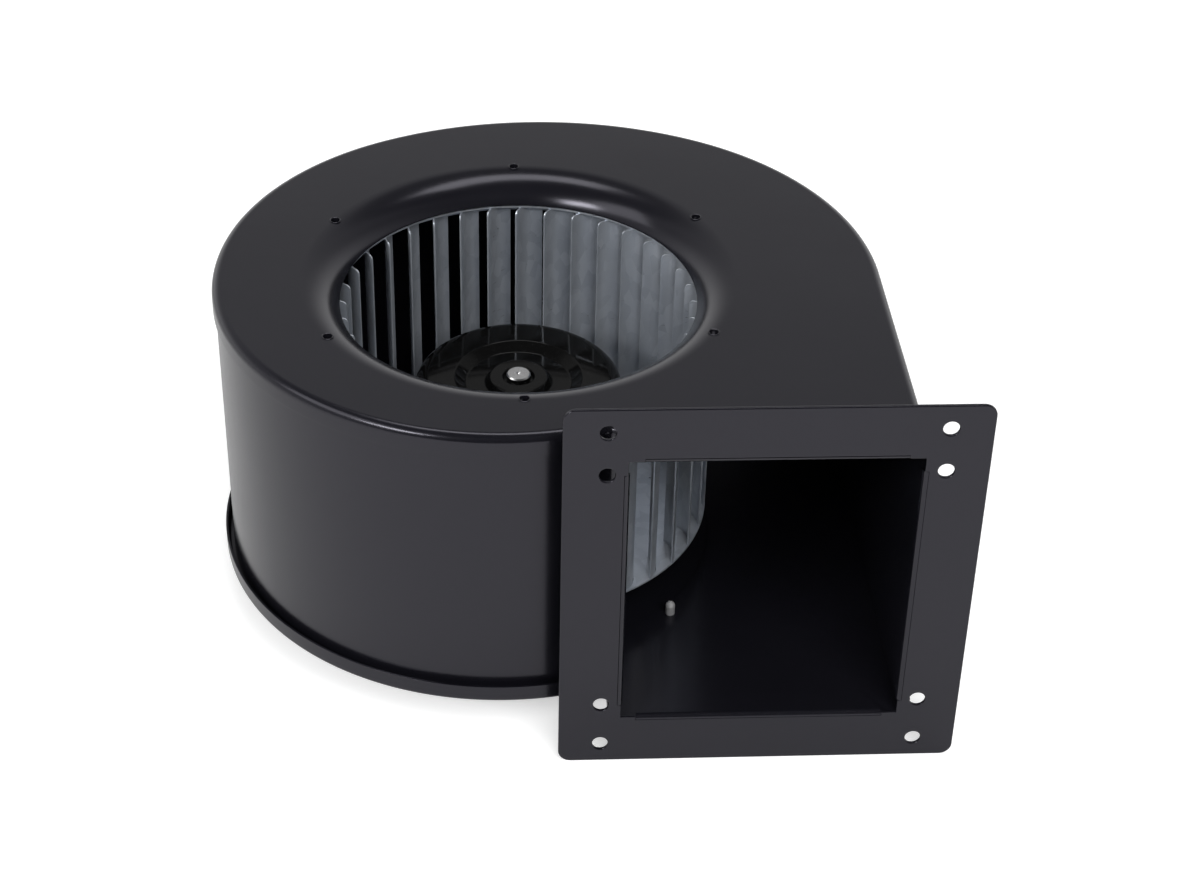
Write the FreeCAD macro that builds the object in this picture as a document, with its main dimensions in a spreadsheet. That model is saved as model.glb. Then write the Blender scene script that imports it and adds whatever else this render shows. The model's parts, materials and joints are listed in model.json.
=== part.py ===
import FreeCAD, Part
import math
import os

import Sketcher

# Single-inlet centrifugal blower. The fan turns about Z at x = y = 0, the inlet looks up (+Z) and
# the air leaves through the flange along -Y. z = 0 is the face on which the motor base and the
# lower edge of the outlet flange stand. All lengths are in millimetres, all angles in degrees.

SIZES = {
    # sheet metal and the seams between the pieces
    "housingGauge": 1.0,
    "flangeGauge": 1.5,
    "seamClearance": 0.1,
    "coverTop": 149.35,
    "coverSkirt": 9.35,
    "shoulderRound": 3.8,
    "wallTopGap": 2.1,
    # air side of the scroll: four tangent arcs, measured from the straight duct side to the tongue
    "scrollCentreX": 19.85,
    "scrollCentreY": -0.5,
    "ductFlareAngle": 1.15,
    "firstArcEndAngle": 62.0,
    "secondArcEndAngle": 118.0,
    "thirdArcEndAngle": 180.0,
    "firstArcClearance": 45.0,
    "secondArcStep": 20.2,
    "thirdArcStep": -25.8,
    "fourthArcStep": -5.7,
    "tongueRound": 6.0,
    "ductLeft": 36.2,
    # rear tray and the disc that carries the motor
    "trayFloor": 21.0,
    "trayRimHeight": 7.9,
    "trayGroove": 2.1,
    "trayBend": 2.0,
    "rearOpeningClearance": 2.0,
    "motorPlateThickness": 2.0,
    "motorPlateOverlap": 11.0,
    "plateScrewInset": 4.7,
    "plateScrewCount": 4,
    "screwRadius": 2.0,
    "screwHeadRadius": 3.8,
    "screwHeadHeight": 2.6,
    "screwClearance": 0.2,
    "screwTipHeight": 6.0,
    # outlet flange
    "flangeReach": 11.8,
    "flangeBorderLeft": 25.0,
    "flangeBorderRight": 24.7,
    "flangeBorderTop": 24.35,
    "flangeCorner": 5.0,
    "flangeHoleRadius": 3.1,
    "flangeHoleSetback": 8.45,
    "outerHolesBottom": 9.05,
    "outerHolesTop": 10.35,
    "innerHolesBottom": 29.55,
    "innerHolesTop": 29.45,
    "neckDepth": 13.3,
    "neckBend": 2.0,
    "neckMitre": 7.7,
    "reliefLength": 5.5,
    "reliefOvershoot": 0.6,
    # inlet nozzle, from the flat lid down to the throat
    "throatInset": 7.65,
    "nozzleWidth": 12.35,
    "nozzleDepth": 10.3,
    "nozzleRound": 6.0,
    "nozzleFlankAngle": 40.0,
    "lipAngle": 85.0,
    "guardHoleInset": 2.05,
    "guardHoleCount": 6,
    "guardHoleRadius": 1.8,
    "guardCollarDepth": 2.0,
    # impeller
    "impellerRadius": 80.0,
    "bladeInnerInset": 10.4,
    "bladeOuterInset": 0.3,
    "bladeCount": 36,
    "bladeInletAngle": 17.0,
    "bladeWrapAngle": 8.4,
    "bladeStartAngle": 1.2,
    "bladeThickness": 0.6,
    "bladeCorner": 1.8,
    "bladeTabStartShare": 0.34,
    "bladeTabEndShare": 0.66,
    "bladeTabDepth": 1.6,
    "slotClearance": 0.12,
    "slotSlackShare": 0.02,
    "impellerPlateTop": 39.4,
    "impellerPlateGauge": 0.8,
    "topRingTop": 137.4,
    "topRingGauge": 0.8,
    "topRingInset": 6.4,
    "topRingSkirt": 5.5,
    "hubCollarHeight": 8.0,
    # rotor
    "rotorRadius": 43.1,
    "rotorWall": 1.4,
    "rotorTop": 99.8,
    "rotorBottom": 26.0,
    "rotorShoulder": 5.8,
    "dishOuter": 26.5,
    "dishInner": 22.0,
    "dishDepth": 3.2,
    "bossBase": 13.8,
    "bossRadius": 12.0,
    "bossRecess": 6.4,
    "bossRecessDepth": 2.2,
    "shaftRadius": 5.0,
    "shaftTop": 101.2,
    "shaftBottom": 10.0,
    "shaftChamfer": 0.5,
    "centreDrillRadius": 0.9,
    "hubRadius": 11.0,
    "hubCollarRadius": 7.0,
    "magnetThickness": 3.6,
    "magnetBottom": 30.0,
    "magnetHeight": 50.0,
    "magnetCount": 8,
    "magnetGapAngle": 4.0,
    # stator
    "airGap": 0.7,
    "tubeWall": 3.5,
    "coreBottom": 36.0,
    "coreHeight": 42.0,
    "toothCount": 12,
    "toothWidth": 5.0,
    "toothTipThickness": 2.2,
    "slotMouth": 3.0,
    "coreYoke": 7.0,
    "insulatorThickness": 1.2,
    "coilSide": 3.4,
    "coilStandoff": 0.15,
    # bearings
    "bearingRadius": 13.0,
    "bearingWidth": 8.0,
    "bearingRingThickness": 2.3,
    "ballRadius": 1.65,
    "ballClearance": 0.05,
    "ballCount": 8,
    "lowerBearingBottom": 14.0,
    "upperBearingTop": 91.0,
    "bearingShoulder": 2.0,
    "tubeShoulder": 2.0,
    "tubeSeatTop": 17.0,
    "springThickness": 0.8,
    "retainingRingRadius": 7.2,
    "retainingRingThickness": 1.0,
    "retainingGrooveDepth": 0.5,
    "capThickness": 1.6,
    # motor base
    "baseOverhang": 3.9,
    "baseWall": 3.0,
    "baseFloor": 3.0,
    "baseFlangeWidth": 10.0,
    "baseFlangeThickness": 4.0,
    "motorScrewInset": 5.5,
    "motorScrewCount": 4,
    "motorOpeningInset": 3.5,
    "ribCount": 10,
    "ribThickness": 2.4,
    "boardPostInset": 14.0,
    "boardPostRadius": 3.4,
    "boardPostCount": 3,
    "boardHoleRadius": 1.3,
    "boardThickness": 1.6,
    "controlBoardInset": 5.0,
    "controlBoardLevel": 7.0,
    "hallBoardInset": 2.6,
    "hallBoardLevel": 23.0,
    "hallSensorWidth": 4.0,
    "hallSensorDepth": 1.6,
    "hallSensorHeight": 4.4,
    "capacitorRadius": 5.0,
    "capacitorHeight": 10.0,
    "capacitorInset": 20.0,
    "grommetLevel": 9.0,
    "grommetRadius": 3.8,
    "grommetBore": 2.2,
    "grommetLip": 1.2,
    "grommetLipWidth": 1.2,
}

# directions of the first screw or post of each ring, and of the upright in a section
SCREW_ANGLE = 45.0
CONTROL_POST_ANGLE = 30.0
HALL_POST_ANGLE = 90.0
UPRIGHT = 90.0

doc = FreeCAD.newDocument("blower")
sheet = doc.addObject("Spreadsheet::Sheet", "Sizes")
for row, (alias, number) in enumerate(SIZES.items(), start=1):
    sheet.set("A%d" % row, alias)
    sheet.set("B%d" % row, str(number))
    sheet.setAlias("B%d" % row, alias)
doc.recompute()

parts = []


class Dim:
    """A length or angle that knows its number and the sheet expression that gives it."""

    def __init__(self, value, text):
        self.value = value
        self.text = text

    def __add__(self, other):
        other = dim(other)
        return Dim(self.value + other.value, "(%s + %s)" % (self.text, other.text))

    def __sub__(self, other):
        other = dim(other)
        return Dim(self.value - other.value, "(%s - %s)" % (self.text, other.text))

    def __mul__(self, factor):
        factor = dim(factor)
        return Dim(self.value * factor.value, "(%s * %s)" % (self.text, factor.text))

    def __truediv__(self, factor):
        factor = dim(factor)
        return Dim(self.value / factor.value, "(%s / %s)" % (self.text, factor.text))

    def __neg__(self):
        return Dim(-self.value, "(-%s)" % self.text)

    __radd__ = __add__
    __rmul__ = __mul__


def dim(item):
    """A sheet alias, a bare number or a Dim, as a Dim."""
    if isinstance(item, Dim):
        return item
    if isinstance(item, str):
        return Dim(float(sheet.get(item)), "Sizes." + item)
    return Dim(float(item), repr(float(item)))


def vector(x, y, z=0.0):
    return FreeCAD.Vector(x, y, z)


def polar(radius, degrees, z=0.0):
    angle = math.radians(degrees)
    return vector(radius * math.cos(angle), radius * math.sin(angle), z)


# Document objects

def new_body(name):
    body = doc.addObject("PartDesign::Body", name)
    body.Label = name
    parts.append(body)
    return body


def new_sketch(body, name, role, offset=None):
    sketch = body.newObject("Sketcher::SketchObject", name)
    plane = next(item for item in body.Origin.OriginFeatures if item.Role == role)
    sketch.AttachmentSupport = (plane, [""])
    sketch.MapMode = "FlatFace"
    if offset is not None:
        sketch.AttachmentOffset = FreeCAD.Placement(vector(0, 0, offset.value), FreeCAD.Rotation())
        sketch.setExpression("AttachmentOffset.Base.z", offset.text)
    return sketch


def bind(sketch, constraint, size):
    index = sketch.addConstraint(constraint)
    sketch.setExpression("Constraints[%d]" % index, size.text)


def draw_polygon(sketch, points):
    """A closed polygon whose corners are bound to the sheet."""
    points = [(dim(x), dim(y)) for x, y in points]
    count = len(points)
    first = sketch.GeometryCount
    for index, (x, y) in enumerate(points):
        next_x, next_y = points[(index + 1) % count]
        line = Part.LineSegment(vector(x.value, y.value), vector(next_x.value, next_y.value))
        sketch.addGeometry(line, False)
    for index, (x, y) in enumerate(points):
        line = first + index
        sketch.addConstraint(Sketcher.Constraint("Coincident", line, 2, first + (index + 1) % count, 1))
        if abs(x.value) < 1e-9:
            sketch.addConstraint(Sketcher.Constraint("PointOnObject", line, 1, -2))
        else:
            bind(sketch, Sketcher.Constraint("DistanceX", -1, 1, line, 1, x.value), x)
        if abs(y.value) < 1e-9:
            sketch.addConstraint(Sketcher.Constraint("PointOnObject", line, 1, -1))
        else:
            bind(sketch, Sketcher.Constraint("DistanceY", -1, 1, line, 1, y.value), y)


def draw_rectangle(sketch, left, bottom, right, top):
    draw_polygon(sketch, [(left, bottom), (right, bottom), (right, top), (left, top)])


def draw_circle(sketch, radius, x=0.0, y=0.0):
    radius, x, y = dim(radius), dim(x), dim(y)
    circle = Part.Circle(vector(x.value, y.value), vector(0, 0, 1), radius.value)
    index = sketch.addGeometry(circle, False)
    bind(sketch, Sketcher.Constraint("Radius", index, radius.value), radius)
    if abs(x.value) < 1e-9 and abs(y.value) < 1e-9:
        sketch.addConstraint(Sketcher.Constraint("Coincident", index, 3, -1, 1))
        return
    bind(sketch, Sketcher.Constraint("DistanceX", -1, 1, index, 3, x.value), x)
    bind(sketch, Sketcher.Constraint("DistanceY", -1, 1, index, 3, y.value), y)


def draw_chain(sketch, curves):
    """A closed chain of lines and arcs, each starting where the last one ends."""
    first = sketch.GeometryCount
    sketch.addGeometry(curves, False)
    for index in range(len(curves)):
        following = (index + 1) % len(curves)
        end = 2 if forward(curves[index], curves[index - 1], curves[following]) else 1
        start = 1 if forward(curves[following], curves[index],
                             curves[(following + 1) % len(curves)]) else 2
        joint = Sketcher.Constraint("Coincident", first + index, end, first + following, start)
        sketch.addConstraint(joint)


def forward(curve, previous, following):
    """Whether a curve runs from the previous one to the following one in its own direction."""
    gap = min(curve.EndPoint.distanceToPoint(following.StartPoint),
              curve.EndPoint.distanceToPoint(following.EndPoint))
    back = min(curve.StartPoint.distanceToPoint(following.StartPoint),
               curve.StartPoint.distanceToPoint(following.EndPoint))
    return gap <= back


def pad(body, sketch, name, length, reverse=False):
    length = dim(length)
    feature = body.newObject("PartDesign::Pad", name)
    feature.Profile = (sketch, [""])
    feature.Length = length.value
    feature.setExpression("Length", length.text)
    feature.Reversed = reverse
    return feature


def pocket(body, sketch, name, length=None, reverse=False, both=False):
    feature = body.newObject("PartDesign::Pocket", name)
    feature.Profile = (sketch, [""])
    feature.Reversed = reverse
    if length is None:
        feature.Type = "ThroughAll"
        feature.Midplane = both
    else:
        length = dim(length)
        feature.Length = length.value
        feature.setExpression("Length", length.text)
    return feature


def revolve(body, sketch, name, cut=False):
    kind = "PartDesign::Groove" if cut else "PartDesign::Revolution"
    feature = body.newObject(kind, name)
    feature.Profile = (sketch, [""])
    feature.ReferenceAxis = (sketch, ["V_Axis"])
    feature.Angle = 360
    return feature


def repeat(body, features, name, count):
    axis = next(item for item in body.Origin.OriginFeatures if item.Role == "Z_Axis")
    pattern = body.newObject("PartDesign::PolarPattern", name)
    pattern.Originals = features
    pattern.Axis = (axis, [""])
    pattern.Angle = 360
    pattern.Occurrences = int(dim(count).value)
    pattern.setExpression("Occurrences", dim(count).text)
    body.Tip = pattern
    return pattern


def round_edges(body, name, radius, chosen):
    """Rounds those edges of the body for which chosen(edge) is true."""
    doc.recompute()
    base = body.Tip
    edges = ["Edge%d" % (i + 1) for i, edge in enumerate(base.Shape.Edges) if chosen(edge)]
    radius = dim(radius)
    feature = body.newObject("PartDesign::Fillet", name)
    feature.Base = (base, edges)
    feature.Radius = radius.value
    feature.setExpression("Radius", radius.text)
    return feature


def bevel_edges(body, name, size, chosen):
    doc.recompute()
    base = body.Tip
    edges = ["Edge%d" % (i + 1) for i, edge in enumerate(base.Shape.Edges) if chosen(edge)]
    size = dim(size)
    feature = body.newObject("PartDesign::Chamfer", name)
    feature.Base = (base, edges)
    feature.Size = size.value
    feature.setExpression("Size", size.text)
    return feature


def on_circle(radius, degrees):
    """The two sketch coordinates of a point on a circle about the fan axis."""
    angle = math.radians(degrees)
    return dim(radius) * math.cos(angle), dim(radius) * math.sin(angle)


def turned(name, points):
    """A piece turned about the fan axis, from its half section in radius and height."""
    body = new_body(name)
    sketch = new_sketch(body, name + "_section", "XZ_Plane")
    draw_polygon(sketch, points)
    revolve(body, sketch, name + "_turn")
    return body


def group(name, solids):
    """Several loose copies of one piece, kept as one node of separate solids."""
    feature = doc.addObject("Part::Feature", name)
    feature.Label = name
    feature.Shape = Part.makeCompound(solids)
    feature.Placement = FreeCAD.Placement()
    parts.append(feature)
    return feature


def around(shape, count, start=0.0):
    """Copies of a shape spaced evenly about the fan axis."""
    copies = []
    for index in range(int(count)):
        copy = shape.copy()
        copy.rotate(vector(0, 0, 0), vector(0, 0, 1), start + index * 360.0 / count)
        copies.append(copy)
    return copies


def section_ring(points, angle=360):
    """A ring, or part of one, about the fan axis, from its half section in radius and height."""
    corners = [vector(radius, 0, height) for radius, height in points]
    face = Part.Face(Part.makePolygon(corners + corners[:1]))
    return face.revolve(vector(0, 0, 0), vector(0, 0, 1), angle)


def at_height(edge, height, tolerance=1e-4):
    box = edge.BoundBox
    return abs(box.ZMin - height) < tolerance and abs(box.ZMax - height) < tolerance


def ring_edge(edge, radius, height):
    """Whether an edge is a circle of this radius about the fan axis at this height."""
    if not at_height(edge, height, 1e-3) or not isinstance(edge.Curve, Part.Circle):
        return False
    centre = edge.Curve.Center
    on_axis = math.hypot(centre.x, centre.y) < 1e-3
    return on_axis and abs(edge.Curve.Radius - radius) < 1e-3


# Derived sizes that several pieces share

rear_opening = dim("impellerRadius") + "rearOpeningClearance"
plate_screw_circle = rear_opening + "plateScrewInset"
throat = dim("impellerRadius") - "throatInset"
nozzle_start = throat + "nozzleWidth"
blade_inner = dim("impellerRadius") - "bladeInnerInset"
blade_outer = dim("impellerRadius") - "bladeOuterInset"
first_arc = dim("impellerRadius") + "firstArcClearance"
second_arc = first_arc + "secondArcStep"
third_arc = second_arc + "thirdArcStep"
fourth_arc = third_arc + "fourthArcStep"
flange_front = fourth_arc + "flangeReach"
tube_radius = dim("bearingRadius") + "tubeWall"
base_radius = dim("rotorRadius") + "baseOverhang"
base_flange = base_radius + "baseFlangeWidth"
motor_screw_circle = base_flange - "motorScrewInset"
board_post_circle = base_radius - "boardPostInset"
flange_back = flange_front - "flangeGauge"
tray_top = dim("trayFloor") + "housingGauge"
lid_underside = dim("coverTop") - "housingGauge"
lid_inside = dim("housingGauge") + "seamClearance"
lid_outside = lid_inside + "housingGauge"
rim_inside = lid_outside + "trayGroove" - "housingGauge"
rim_outside = rim_inside + "housingGauge"
opening_left = dim("ductLeft") + "flangeGauge"
opening_bottom = tray_top + "flangeGauge"
opening_top = lid_underside - "flangeGauge"


def scroll_path(offset, front):
    """The scroll outline, offset outwards from its air side, from the flange round to the tongue.

    The duct side leans outwards to the flange, four tangent arcs of falling radius follow, and
    the tongue turns the wall back to the flange. front is the distance of its ends before the axis.
    """
    value = {name: dim(name).value for name in SIZES}
    start = value["ductFlareAngle"]
    stops = [value["firstArcEndAngle"], value["secondArcEndAngle"], value["thirdArcEndAngle"]]
    radii = [first_arc.value, second_arc.value, third_arc.value, fourth_arc.value]
    centre = vector(value["scrollCentreX"], value["scrollCentreY"])
    centres = [centre]
    for stop, radius, following in zip(stops, radii, radii[1:]):
        centre = centre + polar(radius - following, stop)
        centres.append(centre)
    tongue = value["tongueRound"]
    tongue_x = value["ductLeft"] - tongue
    reach = radii[-1] + tongue
    tongue_y = centre.y - math.sqrt(reach ** 2 - (tongue_x - centre.x) ** 2)
    tongue_angle = 360 + math.degrees(math.atan2(tongue_y - centre.y, tongue_x - centre.x))
    curves = []
    duct_end = centres[0] + polar(radii[0] + offset, start)
    duct_start = vector(duct_end.x + (duct_end.y + front) * math.tan(math.radians(start)), -front)
    curves.append(Part.LineSegment(duct_start, duct_end))
    for place, radius, low, high in zip(centres, radii, [start] + stops, stops + [tongue_angle]):
        curves.append(arc(place, radius + offset, low, high))
    turn = vector(tongue_x, tongue_y)
    curves.append(arc(turn, tongue - offset, 0, tongue_angle - 180))
    side_x = value["ductLeft"] - offset
    curves.append(Part.LineSegment(vector(side_x, tongue_y), vector(side_x, -front)))
    return curves


def arc(centre, radius, low, high):
    circle = Part.Circle(centre, vector(0, 0, 1), radius)
    return Part.ArcOfCircle(circle, math.radians(low), math.radians(high))


def draw_outline(sketch, offset, front):
    """The closed outline of a plate that follows the scroll and ends straight at the flange."""
    curves = scroll_path(offset.value, front.value)
    closing = Part.LineSegment(curves[-1].EndPoint, curves[0].StartPoint)
    draw_chain(sketch, curves + [closing])


def duct_side_x(distance):
    """Where the air side of the leaning duct wall stands at this distance before the axis."""
    side = scroll_path(0.0, distance)[0]
    return side.StartPoint.x


# Housing

def make_inlet_cover():
    body = new_body("inlet_cover")
    skirt_bottom = dim("coverTop") - "coverSkirt"
    outline = new_sketch(body, "cover_outline", "XY_Plane", skirt_bottom)
    draw_outline(outline, lid_outside, flange_back)
    pad(body, outline, "cover_block", "coverSkirt")
    inside = new_sketch(body, "cover_inside", "XY_Plane", skirt_bottom)
    draw_outline(inside, lid_inside, flange_front)
    pocket(body, inside, "cover_hollow", dim("coverSkirt") - "housingGauge", reverse=True)
    top, under = dim("coverTop").value, lid_underside.value
    back = -flange_back.value
    round_edges(body, "cover_shoulder_inside", dim("shoulderRound") - "housingGauge",
                lambda edge: at_height(edge, under) and edge.BoundBox.YMax > back + 1e-3)
    round_edges(body, "cover_shoulder", "shoulderRound",
                lambda edge: at_height(edge, top) and edge.BoundBox.YMax > back + 1e-3)
    mouth = new_sketch(body, "nozzle_mouth", "XY_Plane", dim("coverTop"))
    draw_circle(mouth, nozzle_start)
    pocket(body, mouth, "nozzle_opening", "housingGauge")
    section = new_sketch(body, "nozzle_section", "XZ_Plane")
    draw_chain(section, nozzle_section())
    revolve(body, section, "nozzle")
    collar = new_sketch(body, "guard_collar", "XY_Plane", lid_underside)
    guard_hole_circle = nozzle_start + "guardHoleInset"
    draw_circle(collar, dim("guardHoleRadius") + "housingGauge", 0.0, guard_hole_circle)
    collar_pad = pad(body, collar, "guard_collar_pad", "guardCollarDepth", reverse=True)
    hole = new_sketch(body, "guard_hole", "XY_Plane", dim("coverTop"))
    draw_circle(hole, "guardHoleRadius", 0.0, guard_hole_circle)
    hole_cut = pocket(body, hole, "guard_hole_cut", dim("housingGauge") + "guardCollarDepth")
    repeat(body, [collar_pad, hole_cut], "guard_holes", "guardHoleCount")
    return body


def nozzle_section():
    """Half section of the drawn nozzle: a round, a straight flank and a tighter round to the lip."""
    value = {name: dim(name).value for name in SIZES}
    gauge = value["housingGauge"]
    first = value["nozzleRound"]
    flank, lip = math.radians(value["nozzleFlankAngle"]), math.radians(value["lipAngle"])
    run = value["nozzleWidth"] - first * math.sin(flank)
    drop = value["nozzleDepth"] - first * (1 - math.cos(flank))
    # the flank's length and the second radius together cover the run and the drop that are left
    across = math.sin(lip) - math.sin(flank)
    down = math.cos(flank) - math.cos(lip)
    second = (drop * math.cos(flank) - run * math.sin(flank)) / (
        down * math.cos(flank) - across * math.sin(flank))
    straight = (run - second * across) / math.cos(flank)
    centre = vector(nozzle_start.value, value["coverTop"] - first)
    low, high = UPRIGHT + value["nozzleFlankAngle"], UPRIGHT + value["lipAngle"]
    flank_start = centre + polar(first, low)
    flank_end = flank_start - vector(math.cos(flank), math.sin(flank)) * straight
    second_centre = flank_end - polar(second, low)
    inner_start = centre + polar(first - gauge, low)
    inner_end = second_centre + polar(second - gauge, low)
    lip_out = second_centre + polar(second, high)
    lip_in = second_centre + polar(second - gauge, high)
    return [
        arc(centre, first, UPRIGHT, low),
        Part.LineSegment(flank_start, flank_end),
        arc(second_centre, second, low, high),
        Part.LineSegment(lip_out, lip_in),
        arc(second_centre, second - gauge, low, high),
        Part.LineSegment(inner_end, inner_start),
        arc(centre, first - gauge, UPRIGHT, low),
        Part.LineSegment(centre + vector(0, first - gauge), centre + vector(0, first)),
    ]


def make_scroll_wall():
    body = new_body("scroll_wall")
    strip = new_sketch(body, "wall_strip", "XY_Plane", tray_top)
    inner = scroll_path(0.0, flange_back.value)
    outer = scroll_path(dim("housingGauge").value, flange_back.value)
    ends = [Part.LineSegment(inner[-1].EndPoint, outer[-1].EndPoint),
            Part.LineSegment(outer[0].StartPoint, inner[0].StartPoint)]
    draw_chain(strip, inner + ends[:1] + outer[::-1] + ends[1:])
    pad(body, strip, "wall", lid_underside - "wallTopGap" - tray_top)
    return body


def make_back_plate():
    body = new_body("back_plate")
    outline = new_sketch(body, "tray_outline", "XY_Plane", dim("trayFloor"))
    draw_outline(outline, rim_outside, flange_back)
    pad(body, outline, "tray_block", "trayRimHeight")
    floor, back = dim("trayFloor").value, -flange_back.value
    round_edges(body, "tray_bend", "trayBend",
                lambda edge: at_height(edge, floor) and edge.BoundBox.YMax > back + 1e-3)
    inside = new_sketch(body, "tray_inside", "XY_Plane", tray_top)
    draw_outline(inside, rim_inside, flange_front)
    pocket(body, inside, "tray_hollow", dim("trayRimHeight") - "housingGauge", reverse=True)
    level = tray_top.value
    round_edges(body, "tray_bend_inside", dim("trayBend") - "housingGauge",
                lambda edge: at_height(edge, level) and edge.BoundBox.YMax > back + 1e-3)
    opening = new_sketch(body, "rear_opening", "XY_Plane", tray_top)
    draw_circle(opening, rear_opening)
    pocket(body, opening, "rear_opening_cut", "housingGauge")
    hole = new_sketch(body, "tray_screw_hole", "XY_Plane", tray_top)
    draw_circle(hole, dim("screwRadius") + "seamClearance", *on_circle(plate_screw_circle, SCREW_ANGLE))
    cut = pocket(body, hole, "tray_screw_hole_cut", "housingGauge")
    repeat(body, [cut], "tray_screw_holes", "plateScrewCount")
    return body


def make_outlet_flange():
    body = new_body("outlet_flange")
    front = flange_front
    neck_right = dim(duct_side_x((front - "neckDepth").value))
    opening_right = neck_right - "flangeGauge"
    left = opening_left - "flangeBorderLeft"
    right = opening_right + "flangeBorderRight"
    height = opening_top + "flangeBorderTop"
    plate = new_sketch(body, "flange_outline", "XZ_Plane", front)
    draw_rectangle(plate, left, 0.0, right, height)
    draw_rectangle(plate, opening_left, opening_bottom, opening_right, opening_top)
    pad(body, plate, "flange_plate", "flangeGauge", reverse=True)
    neck = new_sketch(body, "neck_outline", "XZ_Plane", front)
    draw_rectangle(neck, "ductLeft", tray_top, neck_right, lid_underside)
    draw_rectangle(neck, opening_left, opening_bottom, opening_right, opening_top)
    pad(body, neck, "neck", "neckDepth", reverse=True)
    face = -front.value

    def bends(edge):
        box, middle = edge.BoundBox, edge.CenterOfMass
        in_face = abs(box.YMin - face) < 1e-4 and abs(box.YMax - face) < 1e-4
        within_x = opening_left.value - 1e-3 < middle.x < opening_right.value + 1e-3
        within_z = opening_bottom.value - 1e-3 < middle.z < opening_top.value + 1e-3
        return in_face and within_x and within_z

    def corners(edge):
        middle = edge.CenterOfMass
        short = abs(edge.Length - dim("flangeGauge").value) < 1e-4
        at_side = min(abs(middle.x - left.value), abs(middle.x - right.value)) < 1e-3
        at_end = min(abs(middle.z), abs(middle.z - height.value)) < 1e-3
        return short and at_side and at_end

    round_edges(body, "flange_corners", "flangeCorner", corners)
    round_edges(body, "neck_bend", "neckBend", bends)
    reach = dim("reliefLength")
    for name, level, over, depth in (
            ("corner_relief", front, dim("reliefOvershoot"), dim("flangeGauge")),
            ("tab_gap", flange_back, dim("flangeGauge"), dim("neckDepth") - "flangeGauge")):
        relief = new_sketch(body, name + "s", "XZ_Plane", level)
        for near_x, far_x in ((opening_left - over, opening_left + reach),
                              (opening_right - reach, opening_right + over)):
            for near_z, far_z in ((opening_bottom - over, opening_bottom + reach),
                                  (opening_top - reach, opening_top + over)):
                draw_rectangle(relief, near_x, near_z, far_x, far_z)
        pocket(body, relief, name + "_cut", depth)
    tip, root = -(front - "neckDepth"), -(front - "neckBend")
    mitre = reach + dim("neckMitre")
    cuts = (("floor", "XY_Plane", opening_bottom, opening_left, opening_right, False),
            ("roof", "XY_Plane", opening_top, opening_left, opening_right, True),
            ("left", "YZ_Plane", dim("ductLeft"), opening_bottom, opening_top, True),
            ("right", "YZ_Plane", opening_right, opening_bottom, opening_top, True))
    for name, role, level, low, high, upward in cuts:
        mitres = new_sketch(body, name + "_mitres", role, level)
        for side, sign in ((low, 1), (high, -1)):
            corners_of_cut = [(side + reach * sign, root), (side + mitre * sign, tip),
                              (side + reach * sign, tip)]
            if role == "YZ_Plane":
                corners_of_cut = [(depth, along) for along, depth in corners_of_cut]
            draw_polygon(mitres, corners_of_cut)
        pocket(body, mitres, name + "_mitre_cut", "flangeGauge", reverse=upward)
    holes = new_sketch(body, "flange_holes", "XZ_Plane", front)
    for x in (opening_left - "flangeHoleSetback", opening_right + "flangeHoleSetback"):
        for z in (dim("outerHolesBottom"), dim("innerHolesBottom"),
                  height - "innerHolesTop", height - "outerHolesTop"):
            draw_circle(holes, "flangeHoleRadius", x, z)
    pocket(body, holes, "flange_hole_cut", "flangeGauge")
    return body


def make_motor_plate():
    plate_bottom = dim("trayFloor") - "motorPlateThickness"
    edge = rear_opening + "motorPlateOverlap"
    bore = base_radius - "motorOpeningInset"
    body = turned("motor_plate", [
        (bore, plate_bottom), (edge, plate_bottom), (edge, "trayFloor"), (bore, "trayFloor")])
    for name, circle, count in (("plate_screw", plate_screw_circle, "plateScrewCount"),
                                ("motor_screw", motor_screw_circle, "motorScrewCount")):
        hole = new_sketch(body, name + "_hole", "XY_Plane", dim("trayFloor"))
        draw_circle(hole, dim("screwRadius") + "screwClearance", *on_circle(circle, SCREW_ANGLE))
        cut = pocket(body, hole, name + "_hole_cut", "motorPlateThickness")
        repeat(body, [cut], name + "_holes", count)
    return body


def screw(shank_radius, head_radius, head_height, length, tip_height):
    """A pan head screw standing on its head, with a domed tip; its seat is at z = 0."""
    head = Part.makeCylinder(head_radius, head_height, vector(0, 0, -head_height))
    rim = [edge for edge in head.Edges if at_height(edge, -head_height)]
    head = head.makeFillet(head_height * 0.55, rim)
    shank = Part.makeCylinder(shank_radius, length - tip_height)
    corners = [vector(0, 0, length - tip_height), vector(shank_radius, 0, length - tip_height)]
    dome = Part.Arc(corners[1], vector(shank_radius * 0.72, 0, length - tip_height * 0.36),
                    vector(0, 0, length))
    wire = Part.Wire([Part.makeLine(corners[0], corners[1]), dome.toShape(),
                      Part.makeLine(vector(0, 0, length), corners[0])])
    tip = Part.Face(wire).revolve(vector(0, 0, 0), vector(0, 0, 1), 360)
    drive = Part.makeBox(head_radius * 1.1, head_height * 0.24, head_height * 0.5,
                         vector(-head_radius * 0.55, -head_height * 0.12, -head_height))
    cross = drive.copy()
    cross.rotate(vector(0, 0, 0), vector(0, 0, 1), 90)
    return head.fuse([shank, tip]).cut(drive).cut(cross).removeSplitter()


def make_plate_screws():
    value = {name: dim(name).value for name in SIZES}
    seat = value["trayFloor"] - value["motorPlateThickness"]
    length = tray_top.value + value["screwTipHeight"] - seat
    one = screw(value["screwRadius"], value["screwHeadRadius"], value["screwHeadHeight"],
                length, value["screwRadius"])
    one.translate(vector(plate_screw_circle.value, 0, seat))
    return group("plate_screws", around(one, value["plateScrewCount"], SCREW_ANGLE))


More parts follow.
